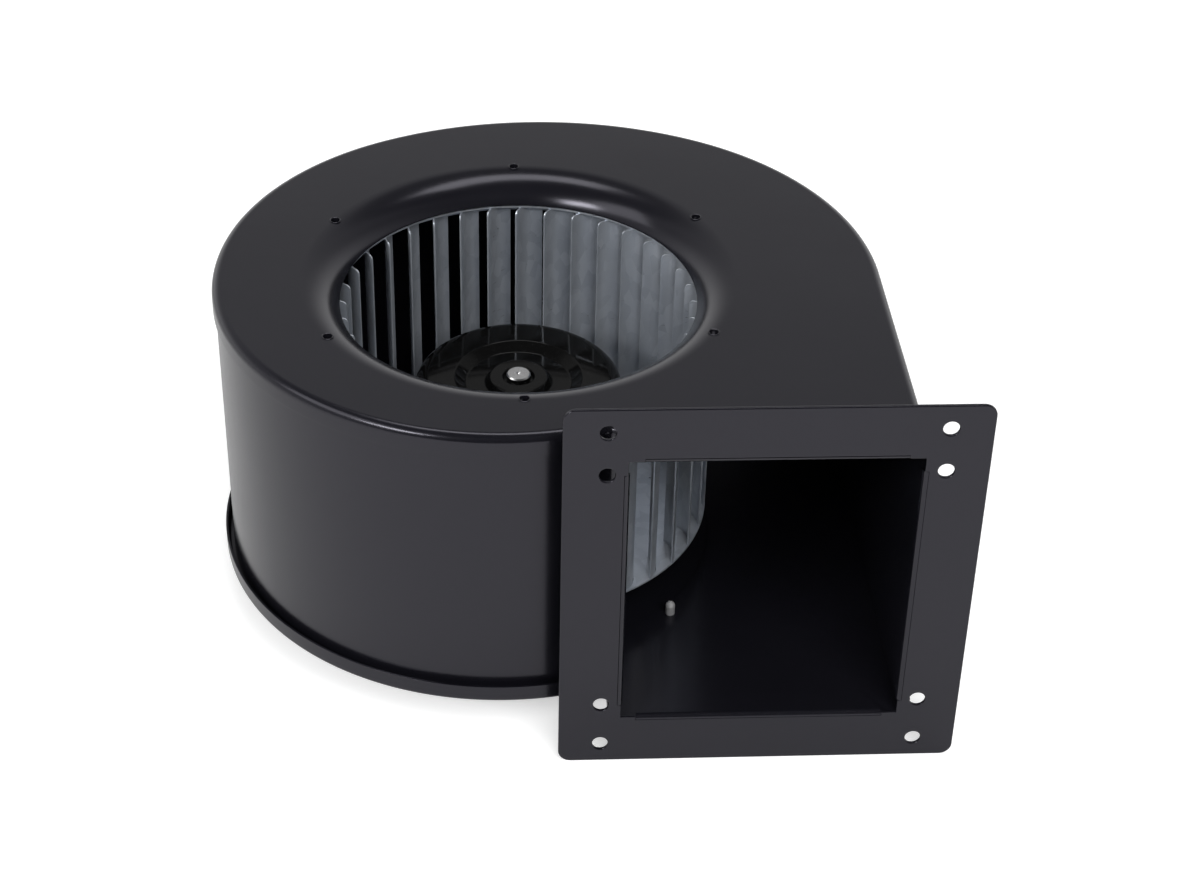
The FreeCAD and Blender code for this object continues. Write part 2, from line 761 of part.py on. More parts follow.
def make_motor_screws():
    value = {name: dim(name).value for name in SIZES}
    length = value["motorPlateThickness"] + value["baseFlangeThickness"]
    one = screw(value["screwRadius"], value["screwHeadRadius"], value["screwHeadHeight"],
                length, value["screwRadius"] * 0.5)
    one.rotate(vector(0, 0, 0), vector(1, 0, 0), 180)
    one.translate(vector(motor_screw_circle.value, 0, value["trayFloor"]))
    return group("motor_screws", around(one, value["motorScrewCount"], SCREW_ANGLE))


# Motor, standing parts

def make_motor_base():
    top = dim("trayFloor") - "motorPlateThickness"
    flange_bottom = top - "baseFlangeThickness"
    inner = base_radius - "baseWall"
    foot = tube_radius + "tubeShoulder"
    body = turned("motor_base", [
        (tube_radius, 0.0), (base_radius, 0.0), (base_radius, flange_bottom),
        (base_flange, flange_bottom), (base_flange, top), (inner, top),
        (inner, "baseFloor"), (foot, "baseFloor"), (foot, "tubeSeatTop"), (tube_radius, "tubeSeatTop")])
    rib = new_sketch(body, "base_rib", "XZ_Plane", dim("ribThickness") / -2)
    draw_polygon(rib, [(base_radius - 0.5, 0.0), (base_radius + 2.0, 0.0),
                       (base_flange - 2.0, flange_bottom),
                       (base_radius - 0.5, flange_bottom)])
    rib_pad = pad(body, rib, "base_rib_pad", "ribThickness")
    repeat(body, [rib_pad], "base_ribs", "ribCount")
    for name, angle, level in (("control", CONTROL_POST_ANGLE, "controlBoardLevel"),
                               ("hall", HALL_POST_ANGLE, "hallBoardLevel")):
        centre = on_circle(board_post_circle, angle)
        post = new_sketch(body, name + "_post", "XY_Plane", dim("baseFloor"))
        draw_circle(post, "boardPostRadius", *centre)
        post_pad = pad(body, post, name + "_post_pad", dim(level) - "baseFloor")
        bore_sketch = new_sketch(body, name + "_post_bore", "XY_Plane", dim(level))
        draw_circle(bore_sketch, "boardHoleRadius", *centre)
        post_bore = pocket(body, bore_sketch, name + "_post_bore_cut", dim(level) - "baseFloor")
        repeat(body, [post_pad, post_bore], name + "_posts", "boardPostCount")
    hole = new_sketch(body, "base_screw_hole", "XY_Plane", top)
    draw_circle(hole, dim("screwRadius") + "seamClearance", *on_circle(motor_screw_circle, SCREW_ANGLE))
    cut = pocket(body, hole, "base_screw_hole_cut", "baseFlangeThickness")
    repeat(body, [cut], "base_screw_holes", "motorScrewCount")
    lead = new_sketch(body, "lead_hole", "XZ_Plane", -base_radius)
    draw_circle(lead, "grommetRadius", 0.0, "grommetLevel")
    pocket(body, lead, "lead_hole_cut", dim("baseWall") + 1.0, reverse=True)
    return body


def make_bearing_tube():
    """Turned tube pressed into the base: the core sits on its shoulder, the bearings in its ends."""
    bore = dim("bearingRadius")
    mid_bore = bore - "bearingShoulder"
    lower_shoulder = dim("lowerBearingBottom") + "bearingWidth"
    upper_shoulder = dim("upperBearingTop") - "bearingWidth" - "springThickness"
    foot = tube_radius + "tubeShoulder"
    return turned("bearing_tube", [
        (bore, 0.0), (tube_radius, 0.0), (tube_radius, dim("coreBottom") - "tubeShoulder"),
        (foot, dim("coreBottom") - "tubeShoulder"), (foot, "coreBottom"), (tube_radius, "coreBottom"),
        (tube_radius, "upperBearingTop"), (bore, "upperBearingTop"), (bore, upper_shoulder),
        (mid_bore, upper_shoulder), (mid_bore, lower_shoulder), (bore, lower_shoulder)])


def make_bearing(name, bottom):
    """A deep groove ball bearing as its outer ring, inner ring and balls."""
    value = {size: dim(size).value for size in SIZES}
    bottom = dim(bottom)
    top = bottom + "bearingWidth"
    outer, inner = dim("bearingRadius"), dim("shaftRadius")
    outer_race, inner_race = outer - "bearingRingThickness", inner + "bearingRingThickness"
    middle = (outer.value + inner.value) / 2
    level = bottom.value + value["bearingWidth"] / 2
    for suffix, low, high in (("outer", outer_race, outer), ("inner", inner, inner_race)):
        body = turned("%s_bearing_%s" % (name, suffix),
                      [(low, bottom), (high, bottom), (high, top), (low, top)])
        groove = new_sketch(body, "%s_%s_groove" % (name, suffix), "XZ_Plane")
        draw_circle(groove, dim("ballRadius") + "ballClearance", dim(middle), dim(level))
        revolve(body, groove, "%s_%s_race" % (name, suffix), cut=True)
    ball = Part.makeSphere(value["ballRadius"], vector(middle, 0, level))
    return group("%s_bearing_balls" % name, around(ball, value["ballCount"]))


def make_bearing_extras():
    fitted = dim("bearingRadius") - "seamClearance"
    turned("bearing_cap", [(0.0, 0.0), (fitted, 0.0), (fitted, "capThickness"), (0.0, "capThickness")])
    seat = dim("upperBearingTop") - "bearingWidth"
    foot = seat - "springThickness"
    inner = dim("bearingRadius") - "bearingRingThickness"
    turned("preload_spring", [(inner, foot), (fitted, foot), (fitted, seat), (inner, seat)])
    groove = dim("shaftRadius") - "retainingGrooveDepth"
    top = dim("lowerBearingBottom")
    turned("retaining_ring", [(groove, top - "retainingRingThickness"),
                              ("retainingRingRadius", top - "retainingRingThickness"),
                              ("retainingRingRadius", top), (groove, top)])


def tooth_slot(outer, tube):
    """Plan of one winding slot: a parallel-sided mouth and a wide chamber between two teeth."""
    value = {size: dim(size).value for size in SIZES}
    half_pitch = 180.0 / value["toothCount"]
    floor_radius = tube + value["coreYoke"]
    roof_radius = outer - value["toothTipThickness"]
    half_tooth = value["toothWidth"] / 2
    mouth = value["slotMouth"] / 2

    def beside_tooth(radius):
        angle = half_pitch - math.degrees(math.asin(half_tooth / radius))
        return radius * math.cos(math.radians(angle)), radius * math.sin(math.radians(angle))

    deep_x, deep_y = beside_tooth(floor_radius)
    wide_x, wide_y = beside_tooth(roof_radius)
    return [(deep_x, -deep_y), (wide_x, -wide_y), (roof_radius + 0.4, -mouth), (outer + 1.0, -mouth),
            (outer + 1.0, mouth), (roof_radius + 0.4, mouth), (wide_x, wide_y), (deep_x, deep_y)]


def stator_radius():
    return dim("rotorRadius") - "rotorWall" - "magnetThickness" - "airGap"


def make_stator():
    value = {size: dim(size).value for size in SIZES}
    outer = stator_radius()
    core_top = dim("coreBottom") + "coreHeight"
    slot = tooth_slot(outer.value, tube_radius.value)
    core = turned("stator_core", [(tube_radius, "coreBottom"), (outer, "coreBottom"),
                                  (outer, core_top), (tube_radius, core_top)])
    sketch = new_sketch(core, "core_slot", "XY_Plane", core_top)
    draw_polygon(sketch, slot)
    cut = pocket(core, sketch, "core_slot_cut", "coreHeight")
    repeat(core, [cut], "core_slots", "toothCount")
    doc.recompute()
    # each insulator is an end plate with the outline of the core
    thickness = value["insulatorThickness"]
    levels = (core_top.value, value["coreBottom"] - thickness)
    plan = core.Shape.slice(vector(0, 0, 1), value["coreBottom"] + 1.0)
    plan.sort(key=lambda wire: -wire.BoundBox.DiagonalLength)
    face = Part.Face(plan[0]).cut(Part.Face(plan[1])) if len(plan) > 1 else Part.Face(plan[0])
    plates = []
    for level in levels:
        plate = face.extrude(vector(0, 0, thickness))
        plate.translate(vector(0, 0, level - value["coreBottom"] - 1.0))
        foot = tube_radius.value + value["tubeShoulder"] + value["seamClearance"]
        clear = Part.makeCylinder(foot, thickness + 2.0, vector(0, 0, level - 1.0))
        plates.extend(plate.cut(clear).Solids)
    group("stator_insulators", plates)
    make_windings(outer.value, core_top.value)


def make_windings(outer, core_top):
    """One coil round each tooth, standing clear of the core and of its neighbours."""
    value = {size: dim(size).value for size in SIZES}
    gap = value["coilStandoff"]
    plate = value["insulatorThickness"]
    inner_x = tube_radius.value + value["coreYoke"] + 0.8
    outer_x = outer - value["toothTipThickness"] - 0.8
    hole_y = value["toothWidth"] / 2 + gap
    hole_bottom = value["coreBottom"] - plate - gap
    hole_top = core_top + plate + gap
    side = value["coilSide"]
    pitch = math.radians(180.0 / value["toothCount"])
    narrow = inner_x * math.tan(pitch) - 0.25
    wide = min(outer_x * math.tan(pitch) - 0.25, hole_y + side)
    plan = [vector(inner_x, -narrow), vector(outer_x, -wide),
            vector(outer_x, wide), vector(inner_x, narrow)]
    face = Part.Face(Part.makePolygon(plan + plan[:1]))
    block = face.extrude(vector(0, 0, hole_top - hole_bottom + 2 * side))
    block.translate(vector(0, 0, hole_bottom - side))
    ends = [edge for edge in block.Edges
            if abs(edge.CenterOfMass.x - (inner_x + outer_x) / 2) < 0.5 and edge.BoundBox.ZLength < 1e-6]
    block = block.makeFillet(side * 0.5, ends)
    window = Part.makeBox(outer_x - inner_x + 2.0, 2 * hole_y, hole_top - hole_bottom,
                          vector(inner_x - 1.0, -hole_y, hole_bottom))
    coil = block.cut(window)
    group("stator_windings", around(coil, value["toothCount"], 180.0 / value["toothCount"]))


def board(name, radius, inner, level, angle):
    body = turned(name, [(inner, level), (radius, level), (radius, dim(level) + "boardThickness"),
                         (inner, dim(level) + "boardThickness")])
    hole = new_sketch(body, name + "_hole", "XY_Plane", dim(level) + "boardThickness")
    draw_circle(hole, dim("boardHoleRadius") + "seamClearance", *on_circle(board_post_circle, angle))
    cut = pocket(body, hole, name + "_hole_cut", "boardThickness")
    repeat(body, [cut], name + "_holes", "boardPostCount")
    return body


def make_electronics():
    value = {size: dim(size).value for size in SIZES}
    tube_foot = tube_radius + "tubeShoulder" + "seamClearance"
    control = board("control_board", base_radius - "controlBoardInset", tube_foot,
                    "controlBoardLevel", CONTROL_POST_ANGLE)
    # the tall posts of the upper board pass through the lower one
    post = new_sketch(control, "post_passage", "XY_Plane", dim("controlBoardLevel") + "boardThickness")
    draw_circle(post, dim("boardPostRadius") + "screwClearance",
                *on_circle(board_post_circle, HALL_POST_ANGLE))
    cut = pocket(control, post, "post_passage_cut", "boardThickness")
    repeat(control, [cut], "post_passages", "boardPostCount")
    board("hall_board", dim("rotorRadius") - "hallBoardInset", tube_foot, "hallBoardLevel",
          HALL_POST_ANGLE)
    hall_top = value["hallBoardLevel"] + value["boardThickness"]
    magnet_middle = value["rotorRadius"] - value["rotorWall"] - value["magnetThickness"] / 2
    sensor = Part.makeBox(value["hallSensorDepth"], value["hallSensorWidth"], value["hallSensorHeight"],
                          vector(magnet_middle - value["hallSensorDepth"] / 2 - 0.4,
                                 -value["hallSensorWidth"] / 2, hall_top))
    sensors = []
    for index in range(3):
        copy = sensor.copy()
        copy.rotate(vector(0, 0, 0), vector(0, 0, 1), 60 + 30 * index)
        sensors.append(copy)
    group("hall_sensors", sensors)
    can = Part.makeCylinder(value["capacitorRadius"], value["capacitorHeight"],
                            vector((base_radius - "capacitorInset").value, 0,
                                   value["controlBoardLevel"] + value["boardThickness"]))
    can = can.makeFillet(0.8, [edge for edge in can.Edges if edge.BoundBox.ZLength < 1e-6])
    group("board_capacitors", around(can, 3, 0.0))
    screws = []
    for level, start in ((value["controlBoardLevel"], CONTROL_POST_ANGLE),
                         (value["hallBoardLevel"], HALL_POST_ANGLE)):
        one = screw(value["boardHoleRadius"], 2.3, 1.4, value["boardThickness"] + 3.0, 0.6)
        one.rotate(vector(0, 0, 0), vector(1, 0, 0), 180)
        one.translate(vector(board_post_circle.value, 0, level + value["boardThickness"]))
        screws.extend(around(one, value["boardPostCount"], start))
    group("board_screws", screws)


def make_lead_grommet():
    """Rubber grommet in the wall of the motor base, where the supply lead leaves."""
    value = {size: dim(size).value for size in SIZES}
    clear = value["seamClearance"]
    lip = value["grommetLip"]
    neck = value["grommetRadius"] - clear
    flange = value["grommetRadius"] + value["grommetLipWidth"]
    wall_out = base_radius.value + clear
    wall_in = math.sqrt((base_radius.value - value["baseWall"]) ** 2 - flange ** 2) - clear
    profile = [(value["grommetBore"], wall_in - lip), (flange, wall_in - lip), (flange, wall_in),
               (neck, wall_in), (neck, wall_out), (flange, wall_out), (flange - 0.5, wall_out + lip),
               (value["grommetBore"], wall_out + lip)]
    ring = section_ring(profile)
    ring.rotate(vector(0, 0, 0), vector(1, 0, 0), -90)
    ring.translate(vector(0, 0, value["grommetLevel"]))
    return group("lead_grommet", [ring])


# Rotor

def make_rotor_can():
    wall = dim("rotorWall")
    top = dim("rotorTop")
    radius = dim("rotorRadius")
    dish = top - "dishDepth"
    seat = dim("hubRadius")
    body = turned("rotor_can", [
        (radius - wall, "rotorBottom"), (radius, "rotorBottom"), (radius, top), ("dishOuter", top),
        ("dishInner", dish), ("bossBase", dish), ("bossRadius", top), ("bossRecess", top),
        ("bossRecess", top - "bossRecessDepth"), ("shaftRadius", top - "bossRecessDepth"),
        ("shaftRadius", top - "bossRecessDepth" - wall), (seat, top - "bossRecessDepth" - wall),
        (seat + 0.6, dish - wall), (dim("dishInner") + 0.6, dish - wall),
        (dim("dishOuter") + 0.6, top - wall), (radius - wall, top - wall)])
    outer, face = radius.value, top.value
    round_edges(body, "can_shoulder", "rotorShoulder", lambda edge: ring_edge(edge, outer, face))
    inner, under = (radius - wall).value, (top - wall).value
    round_edges(body, "can_shoulder_inside", dim("rotorShoulder") - wall,
                lambda edge: ring_edge(edge, inner, under))
    dish_out, dish_in = dim("dishOuter").value, dim("dishInner").value
    boss, boss_base, level = dim("bossRadius").value, dim("bossBase").value, dish.value
    round_edges(body, "dish_rounds", 1.2,
                lambda edge: ring_edge(edge, dish_out, face) or ring_edge(edge, dish_in, level))
    round_edges(body, "boss_rounds", 0.9,
                lambda edge: ring_edge(edge, boss, face) or ring_edge(edge, boss_base, level))
    recess = dim("bossRecess").value
    round_edges(body, "recess_round", 0.6, lambda edge: ring_edge(edge, recess, face))
    return body


def make_rotor_hub():
    can_floor = dim("rotorTop") - "bossRecessDepth" - "rotorWall"
    seat = dim("upperBearingTop")
    shoulder = seat + 1.2
    return turned("rotor_hub", [("shaftRadius", seat), ("hubCollarRadius", seat),
                                ("hubCollarRadius", shoulder), ("hubRadius", shoulder + 0.8),
                                ("hubRadius", can_floor), ("shaftRadius", can_floor)])


def make_shaft():
    groove = dim("shaftRadius") - "retainingGrooveDepth"
    ring_top = dim("lowerBearingBottom")
    ring_bottom = ring_top - "retainingRingThickness"
    drill = dim("centreDrillRadius")
    body = turned("shaft", [
        (0.0, "shaftBottom"), ("shaftRadius", "shaftBottom"), ("shaftRadius", ring_bottom),
        (groove, ring_bottom), (groove, ring_top), ("shaftRadius", ring_top),
        ("shaftRadius", "shaftTop"), (drill, "shaftTop"), (0.0, dim("shaftTop") - drill * 1.2)])
    radius, top, bottom = dim("shaftRadius").value, dim("shaftTop").value, dim("shaftBottom").value
    bevel_edges(body, "shaft_chamfers", "shaftChamfer",
                lambda edge: ring_edge(edge, radius, top) or ring_edge(edge, radius, bottom))
    return body


def make_magnets():
    value = {size: dim(size).value for size in SIZES}
    outer = value["rotorRadius"] - value["rotorWall"]
    inner = outer - value["magnetThickness"]
    span = 360.0 / value["magnetCount"] - value["magnetGapAngle"]
    base = value["magnetBottom"]
    top = base + value["magnetHeight"]
    section = [(inner, base), (outer, base), (outer, top), (inner, top)]
    segment = section_ring(section, span)
    return group("rotor_magnets", around(segment, value["magnetCount"]))


# Impeller

def blade_strip(start, end, half_width, turn):
    """Plan of part of one blade: a strip along its arc, between two shares of the arc.

    The blade enters almost radially at its inner edge and leans forward, the way the wheel turns,
    at its outer edge. start and end run from 0 at the inner edge to 1 at the outer edge, and turn
    is the direction of the inner edge from the fan axis.
    """
    value = {size: dim(size).value for size in SIZES}
    inner = polar(blade_inner.value, turn)
    outer = polar(blade_outer.value, turn - value["bladeWrapAngle"])
    chord = outer - inner
    lean = turn - math.degrees(math.atan2(chord.y, chord.x))
    half_turn = lean - value["bladeInletAngle"]
    radius = chord.Length / 2 / math.sin(math.radians(half_turn))
    # the arc's centre lies on the side to which the wheel turns
    first = turn - value["bladeInletAngle"] + 90
    centre = inner - polar(radius, first)
    low = first - 2 * half_turn * end
    high = first - 2 * half_turn * start
    wide, narrow = radius + half_width, radius - half_width
    return [
        arc(centre, wide, low, high),
        Part.LineSegment(centre + polar(wide, high), centre + polar(narrow, high)),
        arc(centre, narrow, low, high),
        Part.LineSegment(centre + polar(narrow, low), centre + polar(wide, low))]


def upright(curves, bottom, height):
    """A solid with the plan that the curves enclose, from bottom up."""
    solid = Part.Face(Part.Wire([curve.toShape() for curve in curves])).extrude(vector(0, 0, height))
    solid.translate(vector(0, 0, bottom))
    return solid


def make_impeller():
    value = {size: dim(size).value for size in SIZES}
    half = value["bladeThickness"] / 2
    foot, roof = value["impellerPlateTop"], value["topRingTop"] - value["topRingGauge"]
    first = value["bladeStartAngle"] + value["bladeWrapAngle"]
    blade = upright(blade_strip(0, 1, half, first), foot, roof - foot)
    corner = [edge for edge in blade.Edges if at_height(edge, roof)
              and abs(math.hypot(edge.CenterOfMass.x, edge.CenterOfMass.y) - blade_inner.value) < 0.2]
    blade = blade.makeFillet(value["bladeCorner"], corner)
    depth = value["bladeTabDepth"]
    tab = upright(blade_strip(value["bladeTabStartShare"], value["bladeTabEndShare"], half, first),
                  foot - depth, depth)
    blade = blade.fuse(tab).removeSplitter()
    group("impeller_blades", around(blade, value["bladeCount"]))

    plate_bottom = dim("impellerPlateTop") - "impellerPlateGauge"
    collar_bottom = plate_bottom - "hubCollarHeight"
    collar = dim("rotorRadius") + "impellerPlateGauge"
    plate = turned("impeller_back_plate", [
        ("rotorRadius", collar_bottom), (collar, collar_bottom), (collar, plate_bottom),
        ("impellerRadius", plate_bottom), ("impellerRadius", "impellerPlateTop"),
        ("rotorRadius", "impellerPlateTop")])
    slot = new_sketch(plate, "blade_slot", "XY_Plane", dim("impellerPlateTop"))
    margin = value["slotClearance"]
    slack = value["slotSlackShare"]
    draw_chain(slot, blade_strip(value["bladeTabStartShare"] - slack,
                                 value["bladeTabEndShare"] + slack, half + margin, first))
    cut = pocket(plate, slot, "blade_slot_cut", "impellerPlateGauge")
    repeat(plate, [cut], "blade_slots", "bladeCount")

    underside = dim("topRingTop") - "topRingGauge"
    skirt_bottom = dim("topRingTop") - "topRingSkirt"
    skirt_inner = dim("impellerRadius") + "slotClearance"
    skirt_outer = skirt_inner + "topRingGauge"
    ring_inner = dim("impellerRadius") - "topRingInset"
    turned("impeller_top_ring", [
        (ring_inner, underside), (skirt_inner, underside), (skirt_inner, skirt_bottom),
        (skirt_outer, skirt_bottom), (skirt_outer, "topRingTop"), (ring_inner, "topRingTop")])


make_inlet_cover()
make_scroll_wall()
make_back_plate()
make_outlet_flange()
make_motor_plate()
make_plate_screws()
make_motor_screws()
make_motor_base()
make_bearing_tube()
make_bearing("lower", "lowerBearingBottom")
make_bearing("upper", dim("upperBearingTop") - "bearingWidth")
make_bearing_extras()
make_stator()
make_electronics()
make_lead_grommet()
make_rotor_can()
make_rotor_hub()
make_shaft()
make_magnets()
make_impeller()
doc.recompute()

faults = []
for item in doc.Objects:
    if "Invalid" in item.State or "Error" in item.State:
        faults.append("%s is %s" % (item.Label, item.State))
for part in parts:
    if part.Shape.isNull() or not part.Shape.isValid() or not part.Shape.Solids:
        faults.append("%s has no valid solid" % part.Label)
if faults:
    raise SystemExit("\n".join(faults))

os.makedirs("parts", exist_ok=True)
for part in parts:
    part.Shape.exportStep(os.path.join("parts", part.Label + ".step"))
    print("%-22s %2d solids %10.1f mm3" % (part.Label, len(part.Shape.Solids), part.Shape.Volume))
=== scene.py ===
import bpy
import bmesh
import json
import math
from mathutils import Matrix, Vector
from mathutils.geometry import delaunay_2d_cdt


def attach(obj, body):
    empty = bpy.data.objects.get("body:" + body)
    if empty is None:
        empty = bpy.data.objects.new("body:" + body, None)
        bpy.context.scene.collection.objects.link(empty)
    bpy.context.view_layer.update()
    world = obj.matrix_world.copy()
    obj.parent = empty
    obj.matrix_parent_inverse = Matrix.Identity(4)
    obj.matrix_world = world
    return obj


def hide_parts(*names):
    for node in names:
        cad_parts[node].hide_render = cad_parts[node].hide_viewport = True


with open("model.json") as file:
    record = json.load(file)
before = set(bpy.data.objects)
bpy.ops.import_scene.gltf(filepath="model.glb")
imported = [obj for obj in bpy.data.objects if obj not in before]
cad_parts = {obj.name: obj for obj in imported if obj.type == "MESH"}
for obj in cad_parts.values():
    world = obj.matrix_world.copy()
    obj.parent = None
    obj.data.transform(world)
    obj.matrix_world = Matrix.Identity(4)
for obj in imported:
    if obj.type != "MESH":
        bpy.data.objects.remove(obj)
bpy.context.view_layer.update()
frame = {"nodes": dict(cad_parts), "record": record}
mm = 0.001


# Shader maths: a wrapped socket takes part in plain expressions

class Wire:
    def __init__(self, tree, socket):
        self.tree = tree
        self.socket = socket

    def math(self, operation, *values):
        node = self.tree.nodes.new("ShaderNodeMath")
        node.operation = operation
        for slot, value in zip(node.inputs, values):
            plug(self.tree, slot, value)
        return Wire(self.tree, node.outputs[0])

    def __add__(self, other):
        return self.math("ADD", self, other)

    def __radd__(self, other):
        return self.math("ADD", other, self)

    def __sub__(self, other):
        return self.math("SUBTRACT", self, other)

    def __rsub__(self, other):
        return self.math("SUBTRACT", other, self)

    def __mul__(self, other):
        return self.math("MULTIPLY", self, other)

    def __rmul__(self, other):
        return self.math("MULTIPLY", other, self)

    def __truediv__(self, other):
        return self.math("DIVIDE", self, other)

    def __rtruediv__(self, other):
        return self.math("DIVIDE", other, self)

    def sine(self):
        return self.math("SINE", self)

    def clamped(self):
        return self.math("MINIMUM", self.math("MAXIMUM", self, 0.0), 1.0)


def plug(tree, slot, value):
    if isinstance(value, Wire):
        tree.links.new(value.socket, slot)
    else:
        slot.default_value = value


class Shader:
    # one node tree, with a single call that adds any node

    def __init__(self, tree):
        self.tree = tree
        tree.nodes.clear()

    def add(self, kind, settings=None, sockets=None, out=0):
        node = self.tree.nodes.new(kind)
        for key, value in (settings or {}).items():
            if key == "stops":
                self.setStops(node.color_ramp, value)
            else:
                setattr(node, key, value)
        for key, value in (sockets or {}).items():
            plug(self.tree, node.inputs[key], value)
        return Wire(self.tree, node.outputs[out]) if len(node.outputs) else node

    def setStops(self, ramp, stops):
        while len(ramp.elements) < len(stops):
            ramp.elements.new(0.5)
        for element, (place, shade) in zip(ramp.elements, stops):
            element.position = place
            element.color = (shade, shade, shade, 1) if isinstance(shade, float) else (*shade, 1)

    def place(self, scale=1.0, stretch=(1, 1, 1)):
        # object coordinates in metres, times a scale for each direction
        where = self.add("ShaderNodeTexCoord", out="Object")
        return self.add("ShaderNodeMapping", sockets={
            "Vector": where, "Scale": tuple(scale * part for part in stretch)})

    def noise(self, scale, detail=2.0, rough=0.5, stretch=(1, 1, 1)):
        return self.add("ShaderNodeTexNoise", sockets={
            "Vector": self.place(stretch=stretch), "Scale": scale, "Detail": detail, "Roughness": rough})

    def blend(self, factor, first, second):
        # a colour mix; its colour sockets share their names, so they go by number
        return self.add("ShaderNodeMix", {"data_type": "RGBA"}, {0: factor, 6: first, 7: second}, out=2)

    def bump(self, height, strength, distance, under=None):
        sockets = {"Height": height, "Strength": strength, "Distance": distance}
        if under is not None:
            sockets["Normal"] = under
        return self.add("ShaderNodeBump", sockets=sockets)


def makeMaterial(name, surface):
    # surface(shader) gives the sockets of the one principled shader
    material = bpy.data.materials.new(name)
    material.use_nodes = True
    shader = Shader(material.node_tree)
    principled = shader.add("ShaderNodeBsdfPrincipled", sockets=surface(shader))
    shader.add("ShaderNodeOutputMaterial", sockets={"Surface": principled})
    return material


def rgb(red, green, blue):
    return (red, green, blue, 1.0)


# Finishes

powderLook = {"colour": (0.0058, 0.0057, 0.0080), "dark": 0.9, "pale": 1.12,
              "roughness": 0.17, "roughnessSpread": 0.08, "sheen": 0.47, "tint": (0.90, 0.88, 1.0),
              "grain": 1400.0, "grainDepth": 0.00002}


def powderCoat(shader):
    look = powderLook
    grain = shader.noise(look["grain"], 2.0, 0.55)
    waves = shader.noise(90.0, 1.0)
    cloud = shader.noise(18.0, 3.0, 0.6)
    shade = shader.blend(cloud, rgb(*[part * look["dark"] for part in look["colour"]]),
                         rgb(*[part * look["pale"] for part in look["colour"]]))
    ripple = shader.bump(waves, 0.10, 0.0002)
    return {"Base Color": shade,
            "Roughness": look["roughness"] + look["roughnessSpread"] * cloud,
            "Specular IOR Level": look["sheen"],
            "Specular Tint": rgb(*look["tint"]),
            "Normal": shader.bump(grain, 0.25, look["grainDepth"], ripple)}


def glossPaint(shader):
    drift = shader.noise(60.0, 2.0, 0.5)
    dust = shader.noise(2600.0, 1.0, 0.5)
    speck = ((dust - 0.68) * 9.0).clamped()
    return {"Base Color": shader.blend(speck, rgb(0.003, 0.003, 0.003), rgb(0.03, 0.03, 0.03)),
            "Roughness": 0.05 + 0.03 * drift + 0.15 * speck,
            "Specular IOR Level": 0.15,
            "Normal": shader.bump(drift, 0.08, 0.0002)}


def galvanised(shader):
    where = shader.place(260.0, (1, 1, 0.6))
    spangle = shader.add("ShaderNodeTexVoronoi", {"feature": "F1"},
                         {"Vector": where, "Scale": 1.0}, out="Color")
    facet = shader.add("ShaderNodeSeparateColor", sockets={"Color": spangle})
    scratch = shader.noise(160.0, 3.0, 0.6, (1, 1, 14))
    stain = shader.noise(35.0, 3.0, 0.55)
    light = shader.blend(facet, rgb(0.54, 0.58, 0.64), rgb(0.66, 0.70, 0.76))
    return {"Base Color": shader.blend(stain * 0.3, light, rgb(0.40, 0.43, 0.48)),
            "Metallic": 0.68,
            "Roughness": 0.24 + 0.06 * facet + 0.10 * scratch,
            "Normal": shader.bump(scratch, 0.10, 0.0001)}


def turnedSteel(shader):
    across = shader.add("ShaderNodeSeparateXYZ", sockets={"Vector": shader.place()})
    noise = shader.noise(500.0, 2.0, 0.5, (1, 1, 4))
    lines = (across * 9000.0 + noise * 3.0).sine()
    return {"Base Color": shader.blend(noise, rgb(0.62, 0.62, 0.63), rgb(0.78, 0.78, 0.78)),
            "Metallic": 1.0,
            "Roughness": 0.20 + 0.06 * noise,
            "Normal": shader.bump(lines, 0.04, 0.00002)}


def zincPlate(shader):
    mottled = shader.noise(700.0, 3.0, 0.6)
    return {"Base Color": shader.blend(mottled, rgb(0.60, 0.60, 0.62), rgb(0.74, 0.74, 0.74)),
            "Metallic": 0.6,
            "Roughness": 0.28 + 0.14 * mottled,
            "Normal": shader.bump(mottled, 0.08, 0.00005)}


def castAluminium(shader):
    sand = shader.noise(1100.0, 3.0, 0.65)
    flow = shader.noise(40.0, 2.0, 0.5)
    return {"Base Color": shader.blend(flow, rgb(0.42, 0.42, 0.43), rgb(0.55, 0.55, 0.56)),
            "Metallic": 1.0,
            "Roughness": 0.42 + 0.14 * sand,
            "Normal": shader.bump(sand, 0.3, 0.00012)}


def turnedBrass(shader):
    noise = shader.noise(420.0, 2.0, 0.5, (1, 1, 6))
    return {"Base Color": shader.blend(noise, rgb(0.62, 0.46, 0.18), rgb(0.74, 0.58, 0.28)),
            "Metallic": 1.0,
            "Roughness": 0.22 + 0.12 * noise,
            "Normal": shader.bump(noise, 0.06, 0.00004)}


def laminatedSteel(shader):
    sheetGap = 0.0005
    height = shader.add("ShaderNodeSeparateXYZ", sockets={"Vector": shader.place()}, out="Z")
    sheets = (height * 2.0 * math.pi / sheetGap).sine()
    rust = shader.noise(300.0, 3.0, 0.6)
    return {"Base Color": shader.blend(rust, rgb(0.16, 0.16, 0.18), rgb(0.28, 0.27, 0.27)),
            "Metallic": 0.9,
            "Roughness": 0.40 + 0.12 * rust,
            "Normal": shader.bump(sheets, 0.35, 0.00006)}


def enamelledCopper(shader):
    wireGap = 0.0009
    height = shader.add("ShaderNodeSeparateXYZ", sockets={"Vector": shader.place()}, out="Z")
    turnRidgesAndShade = (height * 2.0 * math.pi / wireGap).sine()
    gloss = shader.noise(500.0, 2.0, 0.5)
    # the colour darkens in the grooves between the turns: painted shade; the same sine also gives the
    # real ridges of the wire as a bump
    return {"Base Color": shader.blend(turnRidgesAndShade * 0.5 + 0.5, rgb(0.26, 0.07, 0.02), rgb(0.58, 0.22, 0.08)),
            "Metallic": 0.85,
            "Roughness": 0.24 + 0.12 * gloss,
            "Normal": shader.bump(turnRidgesAndShade, 0.6, 0.0003)}


